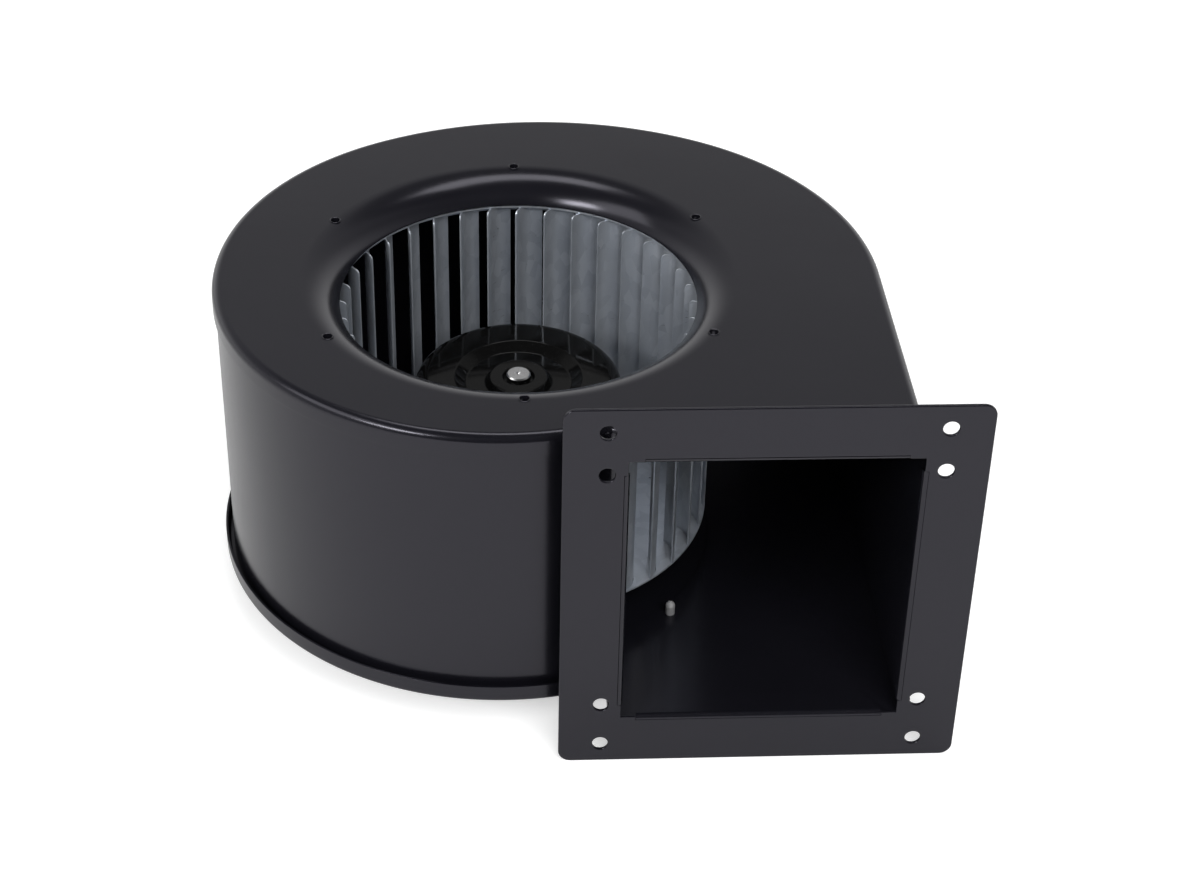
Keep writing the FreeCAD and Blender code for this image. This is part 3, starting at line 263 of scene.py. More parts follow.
def magnetFerrite(shader):
    grain = shader.noise(1500.0, 3.0, 0.6)
    return {"Base Color": shader.blend(grain, rgb(0.025, 0.025, 0.027), rgb(0.06, 0.06, 0.063)),
            "Roughness": 0.55 + 0.2 * grain,
            "Normal": shader.bump(grain, 0.25, 0.00008)}


def nylon(shader):
    haze = shader.noise(220.0, 2.0, 0.5)
    return {"Base Color": shader.blend(haze, rgb(0.70, 0.67, 0.58), rgb(0.80, 0.78, 0.70)),
            "Roughness": 0.45 + 0.1 * haze,
            "Subsurface Weight": 0.1,
            "Normal": shader.bump(haze, 0.1, 0.00005)}


def boardMask(shader):
    where = shader.place(420.0)
    cells = shader.add("ShaderNodeTexVoronoi", {"feature": "F1", "distance": "CHEBYCHEV"},
                       {"Vector": where, "Scale": 1.0, "Randomness": 0.6})
    copper = ((cells - 0.32) * 12.0).clamped()
    weave = shader.noise(900.0, 2.0, 0.5)
    return {"Base Color": shader.blend(copper, rgb(0.012, 0.10, 0.045), rgb(0.02, 0.17, 0.07)),
            "Roughness": 0.30 + 0.12 * weave,
            "Normal": shader.bump(copper, 0.3, 0.00003)}


def mouldedBlack(shader):
    grain = shader.noise(1400.0, 2.0, 0.5)
    return {"Base Color": shader.blend(grain, rgb(0.016, 0.016, 0.017), rgb(0.028, 0.028, 0.03)),
            "Roughness": 0.5 + 0.15 * grain,
            "Normal": shader.bump(grain, 0.2, 0.00003)}


def softRubber(shader):
    bloom = shader.noise(260.0, 3.0, 0.6)
    return {"Base Color": shader.blend(bloom, rgb(0.014, 0.014, 0.014), rgb(0.03, 0.03, 0.03)),
            "Roughness": 0.62 + 0.16 * bloom,
            "Normal": shader.bump(bloom, 0.2, 0.0001)}


finishes = {
    "housing_black": makeMaterial("powderCoat", powderCoat),
    "can_black": makeMaterial("glossPaint", glossPaint),
    "galvanised_steel": makeMaterial("galvanised", galvanised),
    "bright_steel": makeMaterial("turnedSteel", turnedSteel),
    "zinc_steel": makeMaterial("zincPlate", zincPlate),
    "cast_aluminium": makeMaterial("castAluminium", castAluminium),
    "turned_brass": makeMaterial("turnedBrass", turnedBrass),
    "lamination_steel": makeMaterial("laminatedSteel", laminatedSteel),
    "magnet_ferrite": makeMaterial("magnetFerrite", magnetFerrite),
    "winding_copper": makeMaterial("enamelledCopper", enamelledCopper),
    "insulator_nylon": makeMaterial("nylon", nylon),
    "board_laminate": makeMaterial("boardMask", boardMask),
    "sensor_plastic": makeMaterial("mouldedBlack", mouldedBlack),
    "capacitor_sleeve": makeMaterial("capacitorSleeve", mouldedBlack),
    "grommet_rubber": makeMaterial("softRubber", softRubber),
}
print("finishes made:", len(finishes))


# The scroll's outline, as in the part's source

scroll = {
    "centre": (19.85, -0.5),
    "flare": 1.15,
    "stops": (62.0, 118.0, 180.0),
    "radii": (125.0, 145.2, 119.4, 113.7),
    "tongueRound": 6.0,
    "ductLeft": 36.2,
    "frontY": -124.0,
    "arcStep": 1.0,  # degrees between points on the big arcs
    "tongueStep": 8.0,
    "rightShares": (0.0, 0.04, 0.1, 0.3, 0.6),  # where points stand along the duct's straight sides
    "leftShares": (0.25, 0.6, 0.9, 1.0),
}


def direction(degrees):
    angle = math.radians(degrees)
    return Vector((math.cos(angle), math.sin(angle)))


def scrollPath():
    # points of the air side with their outward directions, from the duct's right side to the tongue
    centres = [Vector(scroll["centre"])]
    for stop, near, far in zip(scroll["stops"], scroll["radii"], scroll["radii"][1:]):
        centres.append(centres[-1] + direction(stop) * (near - far))
    tongueX = scroll["ductLeft"] - scroll["tongueRound"]
    reach = scroll["radii"][-1] + scroll["tongueRound"]
    last = centres[-1]
    tongueY = last.y - math.sqrt(reach ** 2 - (tongueX - last.x) ** 2)
    turnAt = 360 + math.degrees(math.atan2(tongueY - last.y, tongueX - last.x))
    path = []
    side = direction(scroll["flare"])
    ductEnd = centres[0] + side * scroll["radii"][0]
    lean = math.tan(math.radians(scroll["flare"]))
    for share in scroll["rightShares"]:
        y = scroll["frontY"] + (ductEnd.y - scroll["frontY"]) * share
        path.append((Vector((ductEnd.x + (ductEnd.y - y) * lean, y)), side))
    bounds = [scroll["flare"], *scroll["stops"], turnAt]
    for centre, radius, low, high in zip(centres, scroll["radii"], bounds, bounds[1:]):
        count = max(2, round((high - low) / scroll["arcStep"]))
        for index in range(count):
            out = direction(low + (high - low) * index / count)
            path.append((centre + out * radius, out))
    turn = Vector((tongueX, tongueY))
    count = round((turnAt - 180) / scroll["tongueStep"])
    for index in range(count + 1):
        away = direction((turnAt - 180) * (1 - index / count))
        path.append((turn + away * scroll["tongueRound"], -away))
    for share in scroll["leftShares"]:
        y = tongueY + (scroll["frontY"] - tongueY) * share
        path.append((Vector((scroll["ductLeft"], y)), Vector((-1, 0))))
    return path


path = scrollPath()


def sweep(mesh, profile, closed=True):
    # carries a profile of (offset, height) along the scroll; returns the vertices per profile point
    rows = []
    for point, out in path:
        rows.append([mesh.verts.new(((point.x + out.x * offset) * mm, (point.y + out.y * offset) * mm,
                                     height * mm)) for offset, height in profile])
    count = len(profile)
    for near, far in zip(rows, rows[1:]):
        for index in range(count if closed else count - 1):
            following = (index + 1) % count
            mesh.faces.new((near[index], far[index], far[following], near[following]))
    if closed:
        mesh.faces.new(rows[0])
        mesh.faces.new(rows[-1][::-1])
    return [[row[index] for row in rows] for index in range(count)]


def revolve(mesh, profile, steps=240, closed=False):
    # turns a profile of (radius, height) about the fan axis
    rings = []
    for radius, height in profile:
        if radius < 1e-6:
            rings.append([mesh.verts.new((0, 0, height * mm))])
            continue
        rings.append([mesh.verts.new((radius * mm * math.cos(2 * math.pi * step / steps),
                                      radius * mm * math.sin(2 * math.pi * step / steps),
                                      height * mm)) for step in range(steps)])
    pairs = list(zip(rings, rings[1:]))
    if closed:
        pairs.append((rings[-1], rings[0]))
    for near, far in pairs:
        for step in range(steps):
            corners = []
            for ring, place in ((near, step), (near, step + 1), (far, step + 1), (far, step)):
                vert = ring[place % len(ring)]
                if vert not in corners:
                    corners.append(vert)
            mesh.faces.new(corners)
    return rings


def insideLoop(point, loop):
    # whether a flat point lies inside a closed loop of flat points
    inside = False
    for index, near in enumerate(loop):
        far = loop[index - 1]
        if (near.y > point.y) != (far.y > point.y):
            if point.x < (far.x - near.x) * (point.y - near.y) / (far.y - near.y) + near.x:
                inside = not inside
    return inside


def fillFlat(mesh, loops):
    # a flat face between the first loop of vertices and the others, which are its holes
    verts = [vert for loop in loops for vert in loop]
    flat = [Vector((vert.co.x, vert.co.y)) for vert in verts]
    edges, outlines, start = [], [], 0
    for loop in loops:
        count = len(loop)
        edges += [(start + index, start + (index + 1) % count) for index in range(count)]
        outlines.append(flat[start:start + count])
        start += count
    found = delaunay_2d_cdt(flat, edges, [], 1, 1e-9)
    points, triangles, origin = found[0], found[2], found[3]
    for triangle in triangles:
        middle = sum((points[index] for index in triangle), Vector((0, 0))) / 3
        if not insideLoop(middle, outlines[0]) or any(insideLoop(middle, hole) for hole in outlines[1:]):
            continue
        corners = [verts[origin[index][0]] for index in triangle]
        if len(set(corners)) == 3 and mesh.faces.get(corners) is None:
            mesh.faces.new(corners)


def circleVerts(mesh, x, y, height, radius, steps):
    return [mesh.verts.new(((x + radius * math.cos(2 * math.pi * step / steps)) * mm,
                            (y + radius * math.sin(2 * math.pi * step / steps)) * mm,
                            height * mm)) for step in range(steps)]


def lathed(mesh, x, y, profile, steps):
    # a small turned form about its own upright axis
    loops = [circleVerts(mesh, x, y, height, radius, steps) for radius, height in profile]
    for near, far in zip(loops, loops[1:]):
        for step in range(steps):
            after = (step + 1) % steps
            mesh.faces.new((near[step], near[after], far[after], far[step]))


def arc(centreX, centreY, radius, low, high, steps):
    # points along an arc, ends included
    points = []
    for step in range(steps + 1):
        turn = direction(low + (high - low) * step / steps)
        points.append((centreX + turn.x * radius, centreY + turn.y * radius))
    return points


def circleOutline(x, y, radius, count):
    # points round a circle, the first not repeated at its end
    return arc(x, y, radius, 0, 360 - 360 / count, count - 1)


def joinColumns(mesh, columns):
    # skins a row of four-cornered sections and closes both ends
    for near, far in zip(columns, columns[1:]):
        for corner in range(4):
            after = (corner + 1) % 4
            mesh.faces.new((near[corner], near[after], far[after], far[corner]))
    mesh.faces.new(columns[0])
    mesh.faces.new(columns[-1])


def finishPiece(name, mesh, slot, body, node, sharp=35.0):
    # smooths the mesh up to its sharp edges, gives it its finish and lets it ride on its body
    bmesh.ops.remove_doubles(mesh, verts=mesh.verts, dist=1e-7)
    bmesh.ops.recalc_face_normals(mesh, faces=mesh.faces)
    data = bpy.data.meshes.new(name)
    mesh.to_mesh(data)
    mesh.free()
    piece = bpy.data.objects.new(name, data)
    bpy.context.scene.collection.objects.link(piece)
    data.shade_smooth()
    data.set_sharp_from_angle(angle=math.radians(sharp))
    data.materials.append(finishes[slot])
    level = piece.modifiers.new("levelFaces", "WEIGHTED_NORMAL")  # keeps flat sheet flat beside a bend
    level.keep_sharp = True
    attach(piece, body)
    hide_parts(node)
    return piece


# Inlet cover

cover = {
    "top": 149.35, "gauge": 1.0, "skirtBottom": 140.0, "outside": 2.1, "shoulder": 3.8,
    "nozzleStart": 88.0, "throat": 72.35, "depth": 10.3,
    "guardCircle": 86.75, "guardCount": 6, "guardRadius": 1.8, "guardRim": 0.6, "guardDepth": 3.0,
    "rimSunk": 0.05, "drillAbove": 1.0, "drillBelow": 1.6, "collarLap": 0.1, "hem": 0.15,
}


def nozzleProfile():
    # section of the drawn nozzle: one arc from the flat lid to the rounded lip, and back inside
    size = cover
    reach = size["nozzleStart"] - size["throat"]
    lip = 2 * math.atan(size["depth"] / reach)
    bend = reach / math.sin(lip)
    centre = Vector((size["nozzleStart"], size["top"] - bend))
    low, high = 90, 90 + math.degrees(lip)
    half = size["gauge"] / 2
    end = centre + direction(high) * (bend - half)
    outer = arc(centre.x, centre.y, bend, low, high, 20)
    hem = arc(end.x, end.y, half, high, high + 180, 6)[1:-1]
    return outer + hem + arc(centre.x, centre.y, bend - size["gauge"], high, low, 14)


def buildCover():
    size = cover
    mesh = bmesh.new()
    top, out = size["top"], size["outside"]
    inside = out - size["gauge"]
    turn, turnInside = size["shoulder"], size["shoulder"] - size["gauge"]
    hem = size["hem"]
    outer = arc(out - turn, top - turn, turn, 90, 0, 10)
    inner = arc(out - turn, top - turn, turnInside, 0, 90, 8)
    edge = arc(out - hem, size["skirtBottom"] + hem, hem, 0, -90, 2)
    edgeInside = arc(inside + hem, size["skirtBottom"] + hem, hem, -90, -180, 2)
    loops = sweep(mesh, outer + edge + edgeInside + inner, closed=False)
    rings = revolve(mesh, nozzleProfile())
    fillFlat(mesh, [loops[0], rings[0]])
    fillFlat(mesh, [loops[-1], rings[-1]])
    piece = finishPiece("inletCover", mesh, "housing_black", "housing", "inlet_cover")
    cutGuardHoles(piece)


def cutGuardHoles(piece):
    # plunged holes where the lid turns into the nozzle, each with a thin raised rim
    size = cover
    drills, collars = bmesh.new(), bmesh.new()
    top, hole, ridge = size["top"], size["guardRadius"], size["guardRim"] / 2
    outside, axis, steps = hole + size["guardRim"], 0.0001, 24
    above, below = top + size["drillAbove"], top - size["drillBelow"]
    lap, crest, foot = below + size["collarLap"], top - size["rimSunk"], top - size["guardDepth"]
    for index in range(size["guardCount"]):
        place = direction(90 + 360 / size["guardCount"] * index) * size["guardCircle"]
        bit = [(axis, above), (outside, above), (outside, below), (axis, below)]
        lathed(drills, place.x, place.y, bit, steps)
        sleeve = [(outside, lap), (outside, crest)] + arc(hole + ridge, crest, ridge, 0, 180, 4)
        sleeve += [(hole, foot), (outside, foot), (outside, lap)]
        lathed(collars, place.x, place.y, sleeve, steps)
    cutter = bpy.data.meshes.new("guardDrills")
    bmesh.ops.remove_doubles(drills, verts=drills.verts, dist=1e-6)
    bmesh.ops.recalc_face_normals(drills, faces=drills.faces)
    drills.to_mesh(cutter)
    drills.free()
    tool = bpy.data.objects.new("guardDrills", cutter)
    bpy.context.scene.collection.objects.link(tool)
    cut = piece.modifiers.new("guardHoles", "BOOLEAN")
    cut.object, cut.solver = tool, "EXACT"
    bpy.context.view_layer.update()
    holed = bpy.data.meshes.new_from_object(piece.evaluated_get(bpy.context.evaluated_depsgraph_get()))
    piece.modifiers.remove(cut)
    piece.data = holed
    bpy.data.objects.remove(tool)
    finishPiece("guardCollars", collars, "housing_black", "housing", "inlet_cover")


buildCover()


# Scroll wall

wall = {"levels": (22.0, 40.0, 70.0, 100.0, 125.0, 146.25), "gauge": 1.0}


def buildWall():
    mesh = bmesh.new()
    outer = [(wall["gauge"], level) for level in wall["levels"]]
    inner = [(0.0, level) for level in wall["levels"][::-1]]
    sweep(mesh, outer + inner)
    finishPiece("scrollWall", mesh, "housing_black", "housing", "scroll_wall")


buildWall()


# Rear tray

tray = {"floor": 21.0, "gauge": 1.0, "rimTop": 28.9, "outside": 4.2, "bend": 2.0, "hem": 0.2,
        "opening": 82.0}


def buildTray():
    size = tray
    mesh = bmesh.new()
    low, out, bend, gauge = size["floor"], size["outside"], size["bend"], size["gauge"]
    hem, crest = size["hem"], size["rimTop"] - size["hem"]
    profile = arc(out - bend, low + bend, bend, -90, 0, 6)
    profile += arc(out - hem, crest, hem, 0, 90, 3)
    profile += arc(out - gauge + hem, crest, hem, 90, 180, 3)
    profile += arc(out - bend, low + bend, bend - gauge, 0, -90, 4)
    loops = sweep(mesh, profile, closed=False)
    rings = revolve(mesh, [(size["opening"], low), (size["opening"], low + gauge)])
    fillFlat(mesh, [loops[0], rings[0]])
    fillFlat(mesh, [loops[-1], rings[-1]])
    finishPiece("backPlate", mesh, "housing_black", "housing", "back_plate")


buildTray()


# Outlet flange

flange = {
    "front": -125.5, "gauge": 1.5, "left": 12.7, "right": 170.31, "height": 171.2, "corner": 5.0,
    "holeRadius": 3.1, "holeX": (29.25, 154.07), "holeZ": (9.05, 29.55, 141.75, 160.85),
    "openLeft": 37.7, "openRight": 145.61, "openBottom": 23.5, "openTop": 146.85,
    "bend": 2.0, "depth": 13.3, "relief": 0.6, "reach": 5.5, "mitre": 7.7, "edge": 0.5,
}


def roundedCorners(left, bottom, right, top, radius, steps=8):
    points = []
    for x, z, start in ((right - radius, top - radius, 0), (left + radius, top - radius, 90),
                        (left + radius, bottom + radius, 180), (right - radius, bottom + radius, 270)):
        points += arc(x, z, radius, start, start + 90, steps)
    return points


def flatPlate(name, outlines, thickness, edge):
    # a plate cut from sheet, from closed outlines, with its edges broken; returns its mesh data
    curve = bpy.data.curves.new(name, "CURVE")
    curve.dimensions = "2D"
    curve.fill_mode = "BOTH"
    curve.extrude = (thickness / 2 - edge) * mm
    curve.bevel_depth = edge * mm
    curve.bevel_resolution = 2
    curve.offset = -edge * mm
    for outline in outlines:
        spline = curve.splines.new("POLY")
        spline.points.add(len(outline) - 1)
        for point, (x, y) in zip(spline.points, outline):
            point.co = (x * mm, y * mm, 0, 1)
        spline.use_cyclic_u = True
    helper = bpy.data.objects.new(name + "Curve", curve)
    bpy.context.scene.collection.objects.link(helper)
    bpy.context.view_layer.update()
    data = bpy.data.meshes.new_from_object(helper)
    bpy.data.objects.remove(helper)
    bpy.data.curves.remove(curve)
    return data


def buildFlange():
    size = flange
    bend, relief, reach = size["bend"], size["relief"], size["reach"]
    left, right, low, high = size["openLeft"], size["openRight"], size["openBottom"], size["openTop"]
    opening = [
        (left + reach, low - bend), (right - reach, low - bend), (right - reach, low - relief),
        (right + relief, low - relief), (right + relief, low + reach), (right + bend, low + reach),
        (right + bend, high - reach), (right + relief, high - reach), (right + relief, high + relief),
        (right - reach, high + relief), (right - reach, high + bend), (left + reach, high + bend),
        (left + reach, high + relief), (left - relief, high + relief), (left - relief, high - reach),
        (left - bend, high - reach), (left - bend, low + reach), (left - relief, low + reach),
        (left - relief, low - relief), (left + reach, low - relief)]
    outlines = [roundedCorners(size["left"], 0.0, size["right"], size["height"], size["corner"]),
                opening]
    for x in size["holeX"]:
        for z in size["holeZ"]:
            outlines.append(circleOutline(x, z, size["holeRadius"], 24))
    data = flatPlate("flangePlate", outlines, size["gauge"], size["edge"])
    mesh = bmesh.new()
    mesh.from_mesh(data)
    bpy.data.meshes.remove(data)
    # the curve lies in XY: stand it up, front towards -Y
    mesh.transform(Matrix.Rotation(math.radians(90), 4, "X"))
    mesh.transform(Matrix.Translation((0, (size["front"] + size["gauge"] / 2) * mm, 0)))
    tabs = (((left, low), (right, low), (0, -1)), ((right, high), (left, high), (0, 1)),
            ((left, high), (left, low), (-1, 0)), ((right, low), (right, high), (1, 0)))
    for start, end, away in tabs:
        addTab(mesh, Vector(start), Vector(end), Vector(away))
    finishPiece("outletFlange", mesh, "housing_black", "housing", "outlet_flange")


def addTab(mesh, start, end, away):
    # one neck tab: bent from the front of the plate, its tip mitred at both ends
    size = flange
    bend, gauge, depth, edge = size["bend"], size["gauge"], size["depth"], size["edge"]
    along = (end - start).normalized()
    profile = [(bend - bend * math.sin(math.radians(turn)), bend - bend * math.cos(math.radians(turn)))
               for turn in range(0, 91, 10)]
    profile += [(0.0, depth - edge), (edge, depth), (gauge - edge, depth), (gauge, depth - edge)]
    inside = bend - gauge
    for turn in range(90, -1, -30):
        angle = math.radians(turn)
        profile.append((bend - inside * math.sin(angle), bend - inside * math.cos(angle)))
    rows = []
    for rise, back in profile:
        inset = size["reach"] + max(0.0, back - bend) / (depth - bend) * size["mitre"]
        row = []
        for place in (start + along * inset, end - along * inset):
            spot = place + away * rise
            row.append(mesh.verts.new((spot.x * mm, (size["front"] + back) * mm, spot.y * mm)))
        rows.append(row)
    count = len(rows)
    for index in range(count):
        near, far = rows[index], rows[(index + 1) % count]
        mesh.faces.new((near[0], near[1], far[1], far[0]))
    for place in (0, 1):
        mesh.faces.new([row[place] for row in rows])


buildFlange()
print("housing built")


# Impeller

impeller = {
    "bladeCount": 36, "inner": 69.6, "outer": 79.7, "wrap": 8.4, "phase": 1.2, "tilt": 17.0,
    "thickness": 0.6, "foot": 39.4, "roof": 136.6, "corner": 1.8,
    "cornerShares": (0.0, 0.03, 0.07), "restFrom": 0.12, "arcSteps": 12, "tabSteps": 4,
    "tabStart": 0.34, "tabEnd": 0.66, "tabDepth": 1.6, "slotMargin": 0.12, "slotSlack": 0.02,
    "plateRadius": 80.0, "plateGauge": 0.8, "plateEdge": 0.12, "bore": 43.1,
    "collarDrop": 8.0, "collarBend": 1.2, "tabLap": 0.05,
    "ringInner": 73.6, "ringGauge": 0.8, "ringSkirt": 5.5, "ringEdge": 0.15, "ringBend": 1.0,
}


def bladeArc(turn):
    # centre and radius of a blade's arc, and the directions of its inner and outer ends
    size = impeller
    inner = direction(turn) * size["inner"]
    outer = direction(turn - size["wrap"]) * size["outer"]
    chord = outer - inner
    lean = (turn - math.degrees(math.atan2(chord.y, chord.x))) % 360
    halfTurn = lean - size["tilt"]
    radius = chord.length / 2 / math.sin(math.radians(halfTurn))
    first = turn - size["tilt"] + 90
    return inner - direction(first) * radius, radius, first, first - 2 * halfTurn


def buildBlades():
    size = impeller
    mesh = bmesh.new()
    half, corner = size["thickness"] / 2, size["corner"]
    rest, steps = size["restFrom"], size["arcSteps"]
    shares = [*size["cornerShares"], *(rest + (1 - rest) * step / steps for step in range(steps + 1))]
    for index in range(size["bladeCount"]):
        turn = size["phase"] + size["wrap"] + index * 360 / size["bladeCount"]
        centre, radius, first, last = bladeArc(turn)
        length = math.radians(first - last) * radius
        columns = []
        for share in shares:
            out = direction(first + (last - first) * share)
            along = share * length
            cut = 0.0
            if along < corner:
                cut = corner - math.sqrt(corner ** 2 - (corner - along) ** 2)
            top = size["roof"] - cut
            column = []
            for side, level in ((half, size["foot"]), (half, top), (-half, top), (-half, size["foot"])):
                spot = centre + out * (radius + side)
                column.append(mesh.verts.new((spot.x * mm, spot.y * mm, level * mm)))
            columns.append(column)
        joinColumns(mesh, columns)
        addTabFoot(mesh, centre, radius, first, last)
    finishPiece("impellerBlades", mesh, "galvanised_steel", "rotor", "impeller_blades", 40.0)


def addTabFoot(mesh, centre, radius, first, last):
    # the tab that goes through the back plate
    size = impeller
    half, steps = size["thickness"] / 2, size["tabSteps"]
    low, high = size["foot"] - size["tabDepth"], size["foot"] + size["tabLap"]
    columns = []
    for step in range(steps + 1):
        share = size["tabStart"] + (size["tabEnd"] - size["tabStart"]) * step / steps
        out = direction(first + (last - first) * share)
        column = []
        for side, level in ((half, low), (half, high), (-half, high), (-half, low)):
            spot = centre + out * (radius + side)
            column.append(mesh.verts.new((spot.x * mm, spot.y * mm, level * mm)))
        columns.append(column)
    joinColumns(mesh, columns)


def slotOutline(turn):
    size = impeller
    centre, radius, first, last = bladeArc(turn)
    half = size["thickness"] / 2 + size["slotMargin"]
    low = first + (last - first) * (size["tabEnd"] + size["slotSlack"])
    high = first + (last - first) * (size["tabStart"] - size["slotSlack"])
    return (arc(centre.x, centre.y, radius + half, low, high, 5)
            + arc(centre.x, centre.y, radius - half, high, low, 5))


def buildBackDisc():
    size = impeller
    bore, gauge, bend = size["bore"], size["plateGauge"], size["collarBend"]
    outlines = [circleOutline(0, 0, size["plateRadius"], 240), circleOutline(0, 0, bore + bend, 144)]
    for index in range(size["bladeCount"]):
        outlines.append(slotOutline(size["phase"] + size["wrap"] + index * 360 / size["bladeCount"]))
    data = flatPlate("backDiscPlate", outlines, gauge, size["plateEdge"])
    mesh = bmesh.new()
    mesh.from_mesh(data)
    bpy.data.meshes.remove(data)
    mesh.transform(Matrix.Translation((0, 0, (size["foot"] - gauge / 2) * mm)))
    end = size["foot"] - gauge - size["collarDrop"]
    collar = arc(bore + bend, size["foot"] - bend, bend, 90, 180, 5)
    collar += [(bore, end), (bore + gauge, end)]
    collar += arc(bore + bend, size["foot"] - bend, bend - gauge, 180, 90, 3)
    revolve(mesh, collar, 144, closed=True)
    finishPiece("impellerBackPlate", mesh, "galvanised_steel", "rotor", "impeller_back_plate")


def buildTopRing():
    size = impeller
    mesh = bmesh.new()
    under, top = size["roof"], size["roof"] + size["ringGauge"]
    inner, skirtIn = size["ringInner"], size["plateRadius"] + size["slotMargin"]
    skirtOut, foot = skirtIn + size["ringGauge"], top - size["ringSkirt"]
    edge, bend = size["ringEdge"], size["ringBend"]
    profile = [(inner, under + edge), (inner, top - edge), (inner + edge, top)]
    profile += arc(skirtOut - bend, top - bend, bend, 90, 0, 5)
    profile += [(skirtOut, foot + edge), (skirtOut - edge, foot), (skirtIn + edge, foot),
                (skirtIn, foot + edge), (skirtIn, under), (inner + edge, under)]
    revolve(mesh, profile, closed=True)
    finishPiece("impellerTopRing", mesh, "galvanised_steel", "rotor", "impeller_top_ring")


buildBlades()
buildBackDisc()
buildTopRing()
print("impeller built")


# Rotor can and shaft

can = {
    "radius": 43.1, "gauge": 1.4, "top": 99.8, "bottom": 26.0, "shoulder": 5.8,
    "dishOuter": 26.5, "dishInner": 22.0, "dishDepth": 3.2, "bossBase": 13.8, "boss": 12.0,
    "recess": 6.4, "recessDepth": 2.2, "shaft": 5.0, "hub": 11.0, "innerOffset": 0.6,
}


def softCorners(points, rounds, steps=6):
    # rounds the corners of an open profile; rounds gives a radius for each point, or 0
    result = []
    for index, (point, radius) in enumerate(zip(points, rounds)):
        here = Vector(point)
        if not radius or index in (0, len(points) - 1):
            result.append(tuple(here))
            continue
        back = (Vector(points[index - 1]) - here).normalized()
        ahead = (Vector(points[index + 1]) - here).normalized()
        half = back.angle(ahead) / 2
        reach = radius / math.tan(half)
        middle = here + (back + ahead).normalized() * radius / math.sin(half)
        start, end = here + back * reach - middle, here + ahead * reach - middle
        turn = start.angle_signed(end)
        for step in range(steps + 1):
            result.append(tuple(middle + Matrix.Rotation(-turn * step / steps, 2) @ start))
    return result


def buildCan():
    size = can
    mesh = bmesh.new()
    radius, top, gauge, offset = size["radius"], size["top"], size["gauge"], size["innerOffset"]
    dish, recess = top - size["dishDepth"], top - size["recessDepth"]
    points = [(size["shaft"], recess - gauge), (size["shaft"], recess), (size["recess"], recess),
              (size["recess"], top), (size["boss"], top), (size["bossBase"], dish),
              (size["dishInner"], dish), (size["dishOuter"], top), (radius, top),
              (radius, size["bottom"]), (radius - gauge, size["bottom"]), (radius - gauge, top - gauge),
              (size["dishOuter"] + offset, top - gauge), (size["dishInner"] + offset, dish - gauge),
              (size["hub"] + offset, dish - gauge), (size["hub"], recess - gauge),
              (size["shaft"], recess - gauge)]
    rounds = [0, 0, 0.4, 0.6, 0.9, 0.9, 1.2, 1.2, size["shoulder"], 0.25, 0.25,
              size["shoulder"] - gauge, 0, 0, 0, 0, 0]
    revolve(mesh, softCorners(points, rounds))
    finishPiece("rotorCan", mesh, "can_black", "rotor", "rotor_can", 40.0)


shaftEnd = {"radius": 5.0, "top": 101.2, "bottom": 10.0, "chamfer": 0.5, "drill": 0.9,
            "grooveLow": 13.0, "grooveHigh": 14.0, "grooveDepth": 0.5,
            "tipRadius": 0.3, "tipDepth": 1.0, "pointDepth": 1.3}


def buildShaft():
    size = shaftEnd
    mesh = bmesh.new()
    radius, top, bottom, bevel = size["radius"], size["top"], size["bottom"], size["chamfer"]
    groove = radius - size["grooveDepth"]
    profile = [(0.0, bottom), (radius - bevel, bottom), (radius, bottom + bevel),
               (radius, size["grooveLow"]), (groove, size["grooveLow"]), (groove, size["grooveHigh"]),
               (radius, size["grooveHigh"]), (radius, top - bevel), (radius - bevel, top),
               (size["drill"], top), (size["tipRadius"], top - size["tipDepth"]),
               (0.0, top - size["pointDepth"])]
    revolve(mesh, profile, 72)
    finishPiece("shaftTurned", mesh, "bright_steel", "rotor", "shaft", 30.0)


buildCan()
buildShaft()
print("rotor built")


# The other nodes keep their own shape and take a finish

slots = {row["node"]: row["material_slot"] for row in frame["record"]["subparts"]}
for name, node in frame["nodes"].items():
    node.data.materials.clear()
    node.data.materials.append(finishes[slots[name]])
print("nodes dressed:", len(slots))


# Studio

studio = {
    "floorSize": 3.6, "floorZ": 0.0, "floorColour": (0.74, 0.74, 0.74),
    "floorGlow": 0.53,  # keeps the floor white behind the piece, and less so where paint mirrors it
    "floorMirror": 0.10,
    "aim": (0.0, 0.0, 0.1),
    "lamps": (  # name, place, width, height, watts, whether the paint mirrors it
        ("keyLeft", (-1.0, -1.11, 1.07), 0.6, 0.3, 11.0, True),
        ("boxLeft", (-1.45, -0.4, 1.25), 1.0, 0.8, 5.0, True),
        ("overhead", (0.1, 0.3, 1.75), 1.2, 0.5, 7.0, True),
        ("fillFront", (0.45, -1.27, 1.45), 1.0, 1.0, 27.0, False),
    ),
    "backdrop": (  # height of a direction above the floor, strength of the world there
        (0.0, 1.1), (0.3, 0.80), (0.5, 0.41), (0.66, 0.48), (0.76, 0.14), (1.0, 0.10)),
    "sideShare": 0.65,  # how much of the backdrop is left at the sides, and its gain towards the back
    "backGain": 0.6,
}


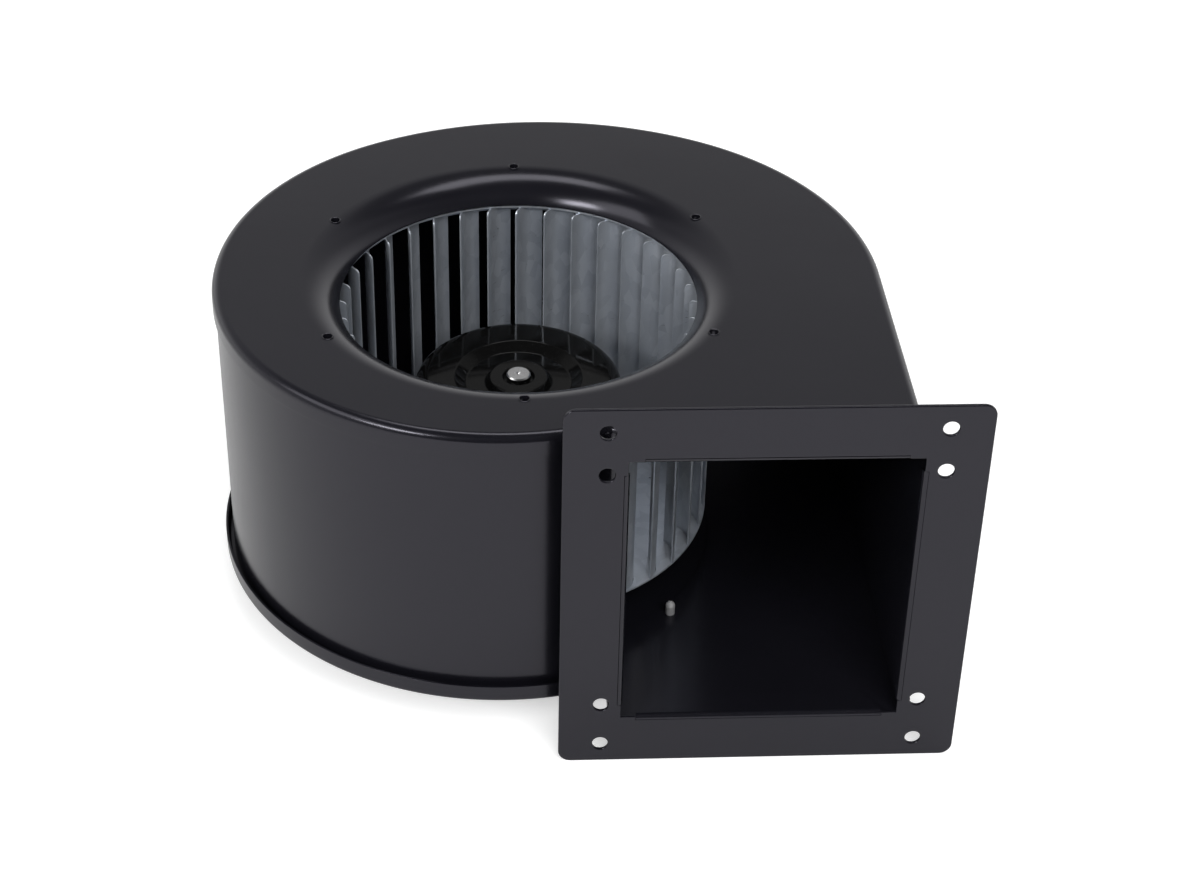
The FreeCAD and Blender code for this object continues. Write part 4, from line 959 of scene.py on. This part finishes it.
def buildFloor():
    mesh = bmesh.new()
    half = studio["floorSize"] / 2
    corners = [mesh.verts.new((x * half, y * half, studio["floorZ"]))
               for x, y in ((-1, -1), (1, -1), (1, 1), (-1, 1))]
    mesh.faces.new(corners)
    data = bpy.data.meshes.new("floor")
    mesh.to_mesh(data)
    mesh.free()
    floor = bpy.data.objects.new("floor", data)
    bpy.context.scene.collection.objects.link(floor)
    material = bpy.data.materials.new("paleFloor")
    material.use_nodes = True
    shader = Shader(material.node_tree)
    seen = shader.add("ShaderNodeLightPath", out="Is Camera Ray")
    mirrored = shader.add("ShaderNodeLightPath", out="Is Glossy Ray")
    shine = seen * studio["floorGlow"] + mirrored * studio["floorMirror"]
    paper = shader.add("ShaderNodeBsdfDiffuse", sockets={"Color": rgb(*studio["floorColour"])})
    glow = shader.add("ShaderNodeEmission", sockets={"Color": rgb(1, 1, 1), "Strength": shine})
    both = shader.add("ShaderNodeAddShader", sockets={0: paper, 1: glow})
    shader.add("ShaderNodeOutputMaterial", sockets={"Surface": both})
    data.materials.append(material)


def buildSky():
    # white to the camera; to all else it fades with height, and towards the front
    world = bpy.data.worlds.new("studioSky")
    bpy.context.scene.world = world
    world.use_nodes = True
    shader = Shader(world.node_tree)
    seen = shader.add("ShaderNodeLightPath", out="Is Camera Ray")
    where = shader.add("ShaderNodeTexCoord", out="Generated")
    height = shader.add("ShaderNodeSeparateXYZ", sockets={"Vector": where}, out="Z")
    depth = shader.add("ShaderNodeSeparateXYZ", sockets={"Vector": where}, out="Y")
    fall = shader.add("ShaderNodeValToRGB", {"stops": studio["backdrop"]}, {"Fac": height})
    behind = (studio["sideShare"] + studio["backGain"] * depth).clamped()
    strength = seen + (1.0 - seen) * (fall * behind)
    sky = shader.add("ShaderNodeBackground", sockets={"Color": rgb(1, 1, 1), "Strength": strength})
    shader.add("ShaderNodeOutputWorld", sockets={"Surface": sky})


def buildLamps():
    for name, place, width, height, watts, mirrored in studio["lamps"]:
        lamp = bpy.data.lights.new(name, "AREA")
        lamp.shape = "RECTANGLE"
        lamp.size, lamp.size_y, lamp.energy = width, height, watts
        holder = bpy.data.objects.new(name, lamp)
        bpy.context.scene.collection.objects.link(holder)
        holder.visible_glossy = mirrored
        holder.location = place
        ahead = Vector(studio["aim"]) - Vector(place)
        holder.rotation_euler = ahead.to_track_quat("-Z", "Y").to_euler()


# place in metres, turns in degrees, solved from the piece's own edges
view = {"place": (-0.02198, -0.85435, 0.69107), "yaw": 3.616, "down": 36.248, "roll": 1.373,
        "lens": 75.90, "sensor": 36.0}


def buildCamera():
    lens = bpy.data.cameras.new("camera")
    lens.sensor_width, lens.lens, lens.sensor_fit = view["sensor"], view["lens"], "HORIZONTAL"
    lens.clip_start, lens.clip_end = 0.01, 20.0
    camera = bpy.data.objects.new("camera", lens)
    bpy.context.scene.collection.objects.link(camera)
    yaw, down, roll = (math.radians(view[key]) for key in ("yaw", "down", "roll"))
    ahead = Vector((math.sin(yaw) * math.cos(down), math.cos(yaw) * math.cos(down), -math.sin(down)))
    right = Vector((math.cos(yaw), -math.sin(yaw), 0))
    up = right.cross(ahead)
    tiltedRight = right * math.cos(roll) + up * math.sin(roll)
    tiltedUp = up * math.cos(roll) - right * math.sin(roll)
    turn = Matrix((tiltedRight, tiltedUp, -ahead)).transposed().to_4x4()
    camera.matrix_world = Matrix.Translation(view["place"]) @ turn
    bpy.context.scene.camera = camera


buildFloor()
buildSky()
buildLamps()
buildCamera()
bpy.context.scene.view_settings.view_transform = "Standard"
print("studio set")
